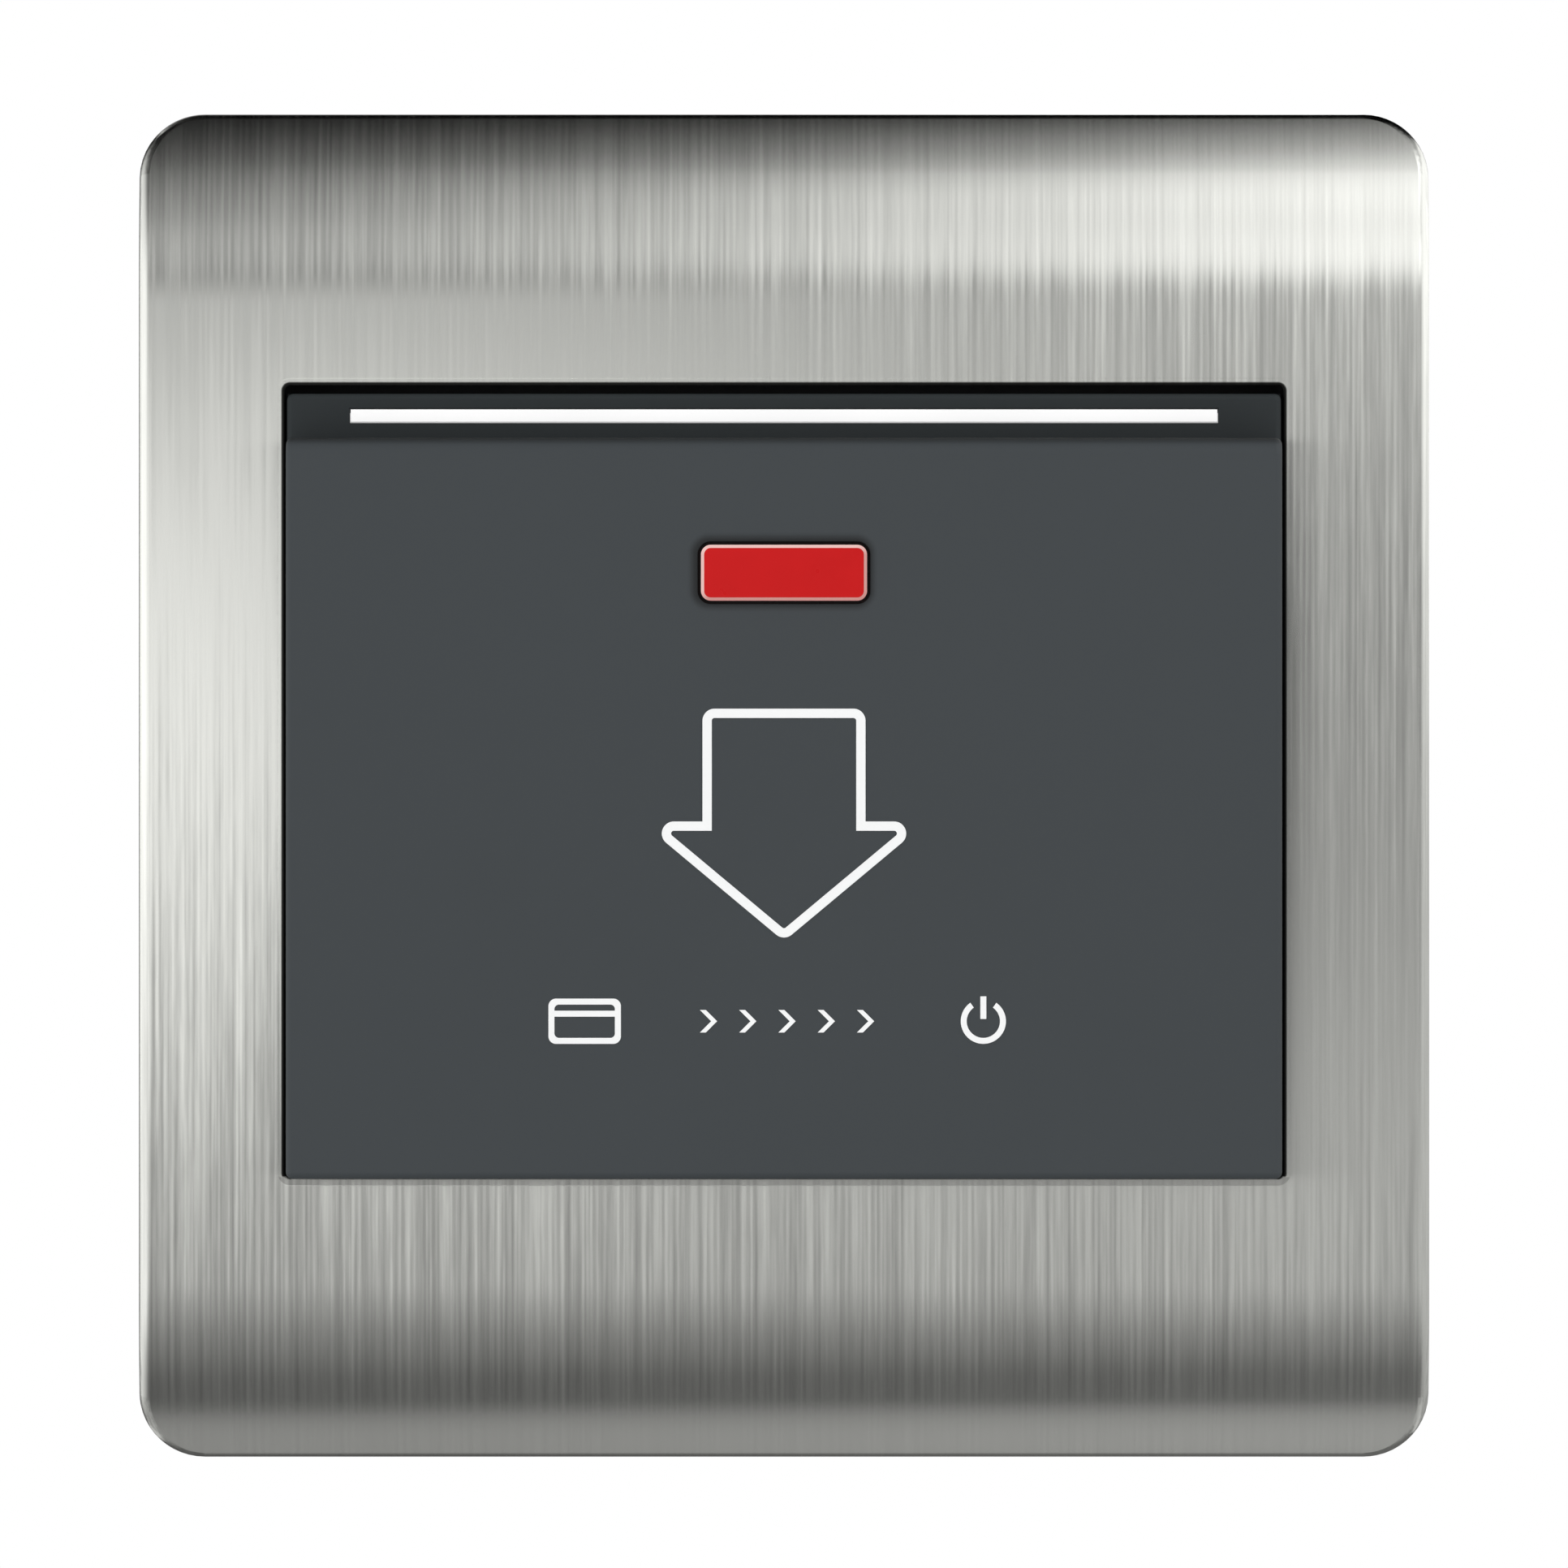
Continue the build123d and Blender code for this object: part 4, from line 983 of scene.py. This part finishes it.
def lampMaterial(name, pitch, height):
    # White case, yellow phosphor in a round well, tinned ends
    material, tree, shader, surface = mouldedPlastic(name, lampValues)
    parts = placeParts(tree, objectPlace(tree))
    turns = mathNode(tree, "FRACT", mathNode(tree, "DIVIDE", parts[0], pitch * mm))
    beside = times(tree, minus(tree, turns, 0.5), pitch * mm)
    local = addNode(tree, "ShaderNodeCombineXYZ", {0: beside, 2: parts[2]}).outputs[0]
    reach = lampValues["well"]
    outside = frameDistance(tree, local, (0.0, height), (reach, reach), reach)
    well = times(tree, mathNode(tree, "LESS_THAN", outside, 0.0), towards(tree, 1))
    ends = mathNode(tree, "GREATER_THAN", mathNode(tree, "ABSOLUTE", beside), lampValues["body"] * mm)
    color = mixColor(tree, well, surface["Color"], (*lampValues["phosphor"], 1))
    color = mixColor(tree, ends, color, (*solderTin, 1))
    tree.links.new(color, shader.inputs["Base Color"])
    tree.links.new(ends, shader.inputs["Metallic"])
    return material


grooveValues = {"corner": 0.4, "width": (0.08, 0.2), "depth": 0.15}


def linedCase(name, values):
    # A moulded box with a fine groove inside the rim of its outer face
    material, tree, shader, surface = mouldedPlastic(name, values)
    place = objectPlace(tree)
    outside = frameDistance(tree, place, values["middle"], values["half"], grooveValues["corner"])
    near = mathNode(tree, "ABSOLUTE", plus(tree, outside, values["inset"]))
    height = times(tree, rangeNode(tree, near, *grooveValues["width"]), towards(tree, 1))
    bump = bumpNode(tree, 1.0, grooveValues["depth"], height, surface["Normal"])
    tree.links.new(bump, shader.inputs["Normal"])
    return material


caseValues = {
    "relay": {
        "color": (0.03, 0.11, 0.4),
        "roughness": 0.3,
        "depth": 0.05,
        "middle": (-11.0, -2.0),
        "half": (9.5, 7.75),
        "inset": 1.0,
    },
    "film_capacitor": {
        "color": (0.6, 0.4, 0.05),
        "roughness": 0.3,
        "depth": 0.05,
        "middle": (9.5, -7.5),
        "half": (6.5, 2.5),
        "inset": 0.6,
    },
}

guideFinish = {"color": (0.75, 0.8, 0.82), "roughness": 0.15, "depth": 0.03}

paint(boardLaminate(), "control_board", "strip_board")
for node, values in caseValues.items():
    paint(linedCase(node.replace("_", "") + "Case", values), node)
paint(sleeveMaterial(), "smoothing_capacitor")
paint(componentMaterial(), "board_components")
for name, values in lampRows.items():
    paint(lampMaterial(name, values["pitch"], values["height"]), values["node"])
paint(mouldedPlastic("guideResin", guideFinish)[0], "indicator_light_guide")

print("finishes made:", len(bpy.data.materials))

# Stage: pale floor, pale world, soft lamps and cards that only gloss sees

stageValues = {
    "floorDrop": 0.30,
    "floorSize": 3.0,
    "floorTone": 0.88,
    "floorDrift": 0.03,
    "floorScale": 6.0,
    "floorRoughness": 0.8,
    "worldLight": 0.77,
}
studioLamps = {
    "softKey": {"power": 2.8, "place": (-0.35, -0.75, 0.85), "size": 0.7},
    "lowFill": {"power": 0.8, "place": (0.0, -0.7, -0.28), "size": 0.4},
}

# The curved card round the object. Angles are degrees from straight ahead, and plus is up
archValues = {
    "steps": 120,
    "radius": 0.3,
    "left": -0.16,
    "right": 0.2,
    "bands": [
        (-178, 0.12),
        (-97, 0.12),
        (-90, 0.2),
        (-76, 0.33),
        (-66, 0.32),
        (-60, 0.28),
        (-52, 0.11),
        (-40, 0.12),
        (-28, 0.19),
        (-18, 0.24),
        (-12, 0.31),
        (-8.3, 0.35),
        (-6.5, 0.51),
        (6.5, 0.29),
        (8, 0.16),
        (10, 0.44),
        (14, 0.61),
        (20, 0.65),
        (36, 0.68),
        (44, 0.31),
        (50, 0.15),
        (56, 0.17),
        (62, 0.03),
        (68, 0.01),
        (74, 0.0),
        (138, 0.0),
        (150, 0.8),
        (178, 0.9),
    ],
    # How far the outer bands lean along X, above and below
    "slant": (3.24, 0.62),
    "slantStart": (15.0, 35.0),
    # Half the width over which a left level turns into the right one
    "reach": 0.02,
    # Those levels for the bands above and below, and for the glow between them
    "high": {"angles": (1.0, 8.2), "sides": (0.4, 2.93), "middle": 0.023},
    "low": {"angles": (-3.9, -6.2), "sides": (0.98, 1.36), "middle": 0.0},
    "glow": {"middle": 2.0, "full": 1.0, "end": 9.4, "sides": (1.07, -0.22)},
}
# Upright cards beside the object, with their levels from low to high
sideCards = {
    "rightCard": {
        "place": (0.3, 0.25, 0.0),
        "size": (1.3, 1.0),
        "bands": [
            (-0.33, 0.33),
            (-0.06, 0.55),
            (-0.005, 0.64),
            (0.02, 1.0),
            (0.043, 1.4),
            (0.3, 1.4),
            (0.36, 0.3),
        ],
    },
    "leftCard": {
        "place": (-0.2, -0.13, 0.0),
        "size": (0.44, 1.0),
        "bands": [
            (-0.25, 0.3),
            (-0.15, 0.6),
            (-0.05, 1.2),
            (0.0, 1.45),
            (0.04, 1.4),
            (0.11, 0.98),
            (0.19, 0.45),
            (0.28, 0.0),
        ],
    },
    "backCard": {
        "place": (-0.35, 0.77, 0.0),
        "size": (1.2, 1.0),
        "bands": [(-0.3, 0.12), (0.0, 0.15), (0.3, 0.0)],
    },
}


def makeWorld():
    world = bpy.data.worlds.new("paleRoom")
    world.use_nodes = True
    bpy.context.scene.world = world
    tree = world.node_tree
    tree.nodes.clear()
    light = addNode(tree, "ShaderNodeLightPath")
    seen = mathNode(tree, "MAXIMUM", light.outputs["Is Camera Ray"], light.outputs["Is Glossy Ray"])
    seen = mathNode(tree, "MAXIMUM", seen, light.outputs["Is Transmission Ray"])
    settings = {"Value": seen, "To Min": stageValues["worldLight"], "To Max": 1.0}
    strength = addNode(tree, "ShaderNodeMapRange", settings).outputs["Result"]
    background = addNode(tree, "ShaderNodeBackground", {"Color": (1, 1, 1, 1), "Strength": strength})
    output = addNode(tree, "ShaderNodeOutputWorld")
    tree.links.new(background.outputs[0], output.inputs["Surface"])


def makeFloor():
    shape = bmesh.new()
    bmesh.ops.create_grid(shape, x_segments=1, y_segments=1, size=stageValues["floorSize"] / 2)
    bmesh.ops.translate(shape, verts=shape.verts, vec=(0, 0, -stageValues["floorDrop"]))
    floor = meshObject("floor", shape)
    material, tree, shader = newMaterial("paleFloor")
    drift = noiseNode(tree, objectPlace(tree), stageValues["floorScale"])
    tone = plus(tree, times(tree, drift, stageValues["floorDrift"]), stageValues["floorTone"])
    tree.links.new(scaleColor(tree, (1.0, 1.0, 1.0), tone), shader.inputs["Base Color"])
    shader.inputs["Roughness"].default_value = stageValues["floorRoughness"]
    # Open to the camera from below
    below = addNode(tree, "ShaderNodeNewGeometry").outputs["Backfacing"]
    seen = addNode(tree, "ShaderNodeLightPath").outputs["Is Camera Ray"]
    clear = addNode(tree, "ShaderNodeBsdfTransparent").outputs[0]
    settings = {0: times(tree, below, seen), 1: shader.outputs[0], 2: clear}
    opened = addNode(tree, "ShaderNodeMixShader", settings)
    output = next(node for node in tree.nodes if node.type == "OUTPUT_MATERIAL")
    tree.links.new(opened.outputs[0], output.inputs["Surface"])
    floor.data.materials.append(material)


def glowCard(name, shape, glow):
    # Only gloss sees it
    card = meshObject(name, shape)
    material = bpy.data.materials.new(name)
    material.use_nodes = True
    tree = material.node_tree
    tree.nodes.clear()
    emission = addNode(tree, "ShaderNodeEmission", {"Strength": glow(tree)})
    output = addNode(tree, "ShaderNodeOutputMaterial")
    tree.links.new(emission.outputs[0], output.inputs["Surface"])
    card.data.materials.append(material)
    for kind in ("camera", "diffuse", "transmission", "volume_scatter", "shadow"):
        setattr(card, "visible_" + kind, False)


def rampNode(tree, factor, stops):
    ramp = addNode(tree, "ShaderNodeValToRGB", {"Fac": factor})
    places = ramp.color_ramp.elements
    while len(places) < len(stops):
        places.new(0.5)
    for place, (position, value) in zip(places, stops):
        place.position = position
        place.color = (value, value, value, 1)
    return placeParts(tree, ramp.outputs["Color"])[0]


def archGlow(tree):
    bands, reach = archValues["bands"], archValues["reach"]
    start, end = math.radians(bands[0][0]), math.radians(bands[-1][0])
    across, forward, up = placeParts(tree, objectPlace(tree))
    angle = mathNode(tree, "ARCTAN2", up, times(tree, forward, -1.0))

    def turned(values, first, last):
        return rangeNode(tree, angle, *[math.radians(degrees) for degrees in values], first, last)

    def sideways(sides, middle):
        return rangeNode(tree, across, middle - reach, middle + reach, *sides)

    above, below = archValues["slant"]
    near, far = archValues["slantStart"]
    slant = plus(tree, turned((near, far), 0.0, above), turned((-far, -near), below, 0.0))
    shifted = minus(tree, angle, times(tree, slant, across))
    share = mathNode(tree, "DIVIDE", minus(tree, shifted, start), end - start)
    stops = [((math.radians(degrees) - start) / (end - start), value) for degrees, value in bands]
    level = rampNode(tree, share, stops)
    for values in (archValues["high"], archValues["low"]):
        kept = turned(values["angles"], 0.0, 1.0)
        side = sideways(values["sides"], values["middle"])
        side = addNode(tree, "ShaderNodeMix", {0: kept, 2: 1.0, 3: side}).outputs[0]
        level = times(tree, level, side)
    glow = archValues["glow"]
    away = mathNode(tree, "ABSOLUTE", minus(tree, angle, math.radians(glow["middle"])))
    between = rangeNode(tree, away, math.radians(glow["full"]), math.radians(glow["end"]), 1.0, 0.0)
    extra = times(tree, sideways(glow["sides"], 0.0), between)
    return mathNode(tree, "MAXIMUM", plus(tree, level, extra), 0.0)


def makeArch():
    # A curved card round the object, level along X, which gives the steel its bands
    radius = archValues["radius"]
    start = math.radians(archValues["bands"][0][0])
    end = math.radians(archValues["bands"][-1][0])
    shape = bmesh.new()
    foot = (-radius * math.cos(start), radius * math.sin(start))
    ends = [shape.verts.new((archValues[side], *foot)) for side in ("left", "right")]
    bmesh.ops.spin(
        shape,
        geom=[*ends, shape.edges.new(ends)],
        cent=(0, 0, 0),
        axis=(1, 0, 0),
        dvec=(0, 0, 0),
        angle=start - end,
        steps=archValues["steps"],
    )
    glowCard("lightArch", shape, archGlow)


def makeSideCard(name, values):
    shape = bmesh.new()
    bmesh.ops.create_grid(shape, x_segments=1, y_segments=1, size=0.5)
    bmesh.ops.scale(shape, verts=shape.verts, vec=(*values["size"], 1))
    upright = Matrix.Rotation(math.radians(90), 3, "Z") @ Matrix.Rotation(math.radians(90), 3, "X")
    bmesh.ops.rotate(shape, verts=shape.verts, cent=(0, 0, 0), matrix=upright)
    bmesh.ops.translate(shape, verts=shape.verts, vec=values["place"])
    levels = values["bands"]
    low, high = levels[0][0], levels[-1][0]

    def glow(tree):
        height = placeParts(tree, objectPlace(tree))[2]
        share = mathNode(tree, "DIVIDE", minus(tree, height, low), high - low)
        stops = [((z - low) / (high - low), level / 2) for z, level in levels]
        # Halved in the stops, because a ramp holds no level above one
        return times(tree, rampNode(tree, share, stops), 2.0)

    glowCard(name, shape, glow)


def makeLamp(name, values):
    # Turned to the object, and unseen by gloss
    lamp = bpy.data.lights.new(name, "AREA")
    lamp.energy = values["power"]
    lamp.size = values["size"]
    holder = bpy.data.objects.new(name, lamp)
    bpy.context.scene.collection.objects.link(holder)
    holder.location = values["place"]
    holder.rotation_euler = (-Vector(values["place"])).to_track_quat("-Z", "Y").to_euler()
    holder.visible_glossy = False


# Camera: straight ahead, far off and long, as in the photograph

cameraValues = {"lens": 400.0, "sensor": 36.0, "crest": 8.5, "distance": 1.1606, "height": 0.00011}


def makeCamera():
    camera = bpy.data.cameras.new("camera")
    camera.lens = cameraValues["lens"]
    camera.sensor_width = cameraValues["sensor"]
    holder = bpy.data.objects.new("camera", camera)
    bpy.context.scene.collection.objects.link(holder)
    front = -cameraValues["crest"] * mm
    holder.location = (0, front - cameraValues["distance"], cameraValues["height"])
    holder.rotation_euler = (math.radians(90), 0, 0)
    bpy.context.scene.camera = holder


makeWorld()
makeFloor()
makeArch()
for name, values in sideCards.items():
    makeSideCard(name, values)
for name, values in studioLamps.items():
    makeLamp(name, values)
makeCamera()
bpy.context.scene.view_settings.view_transform = "Standard"
print("stage set")
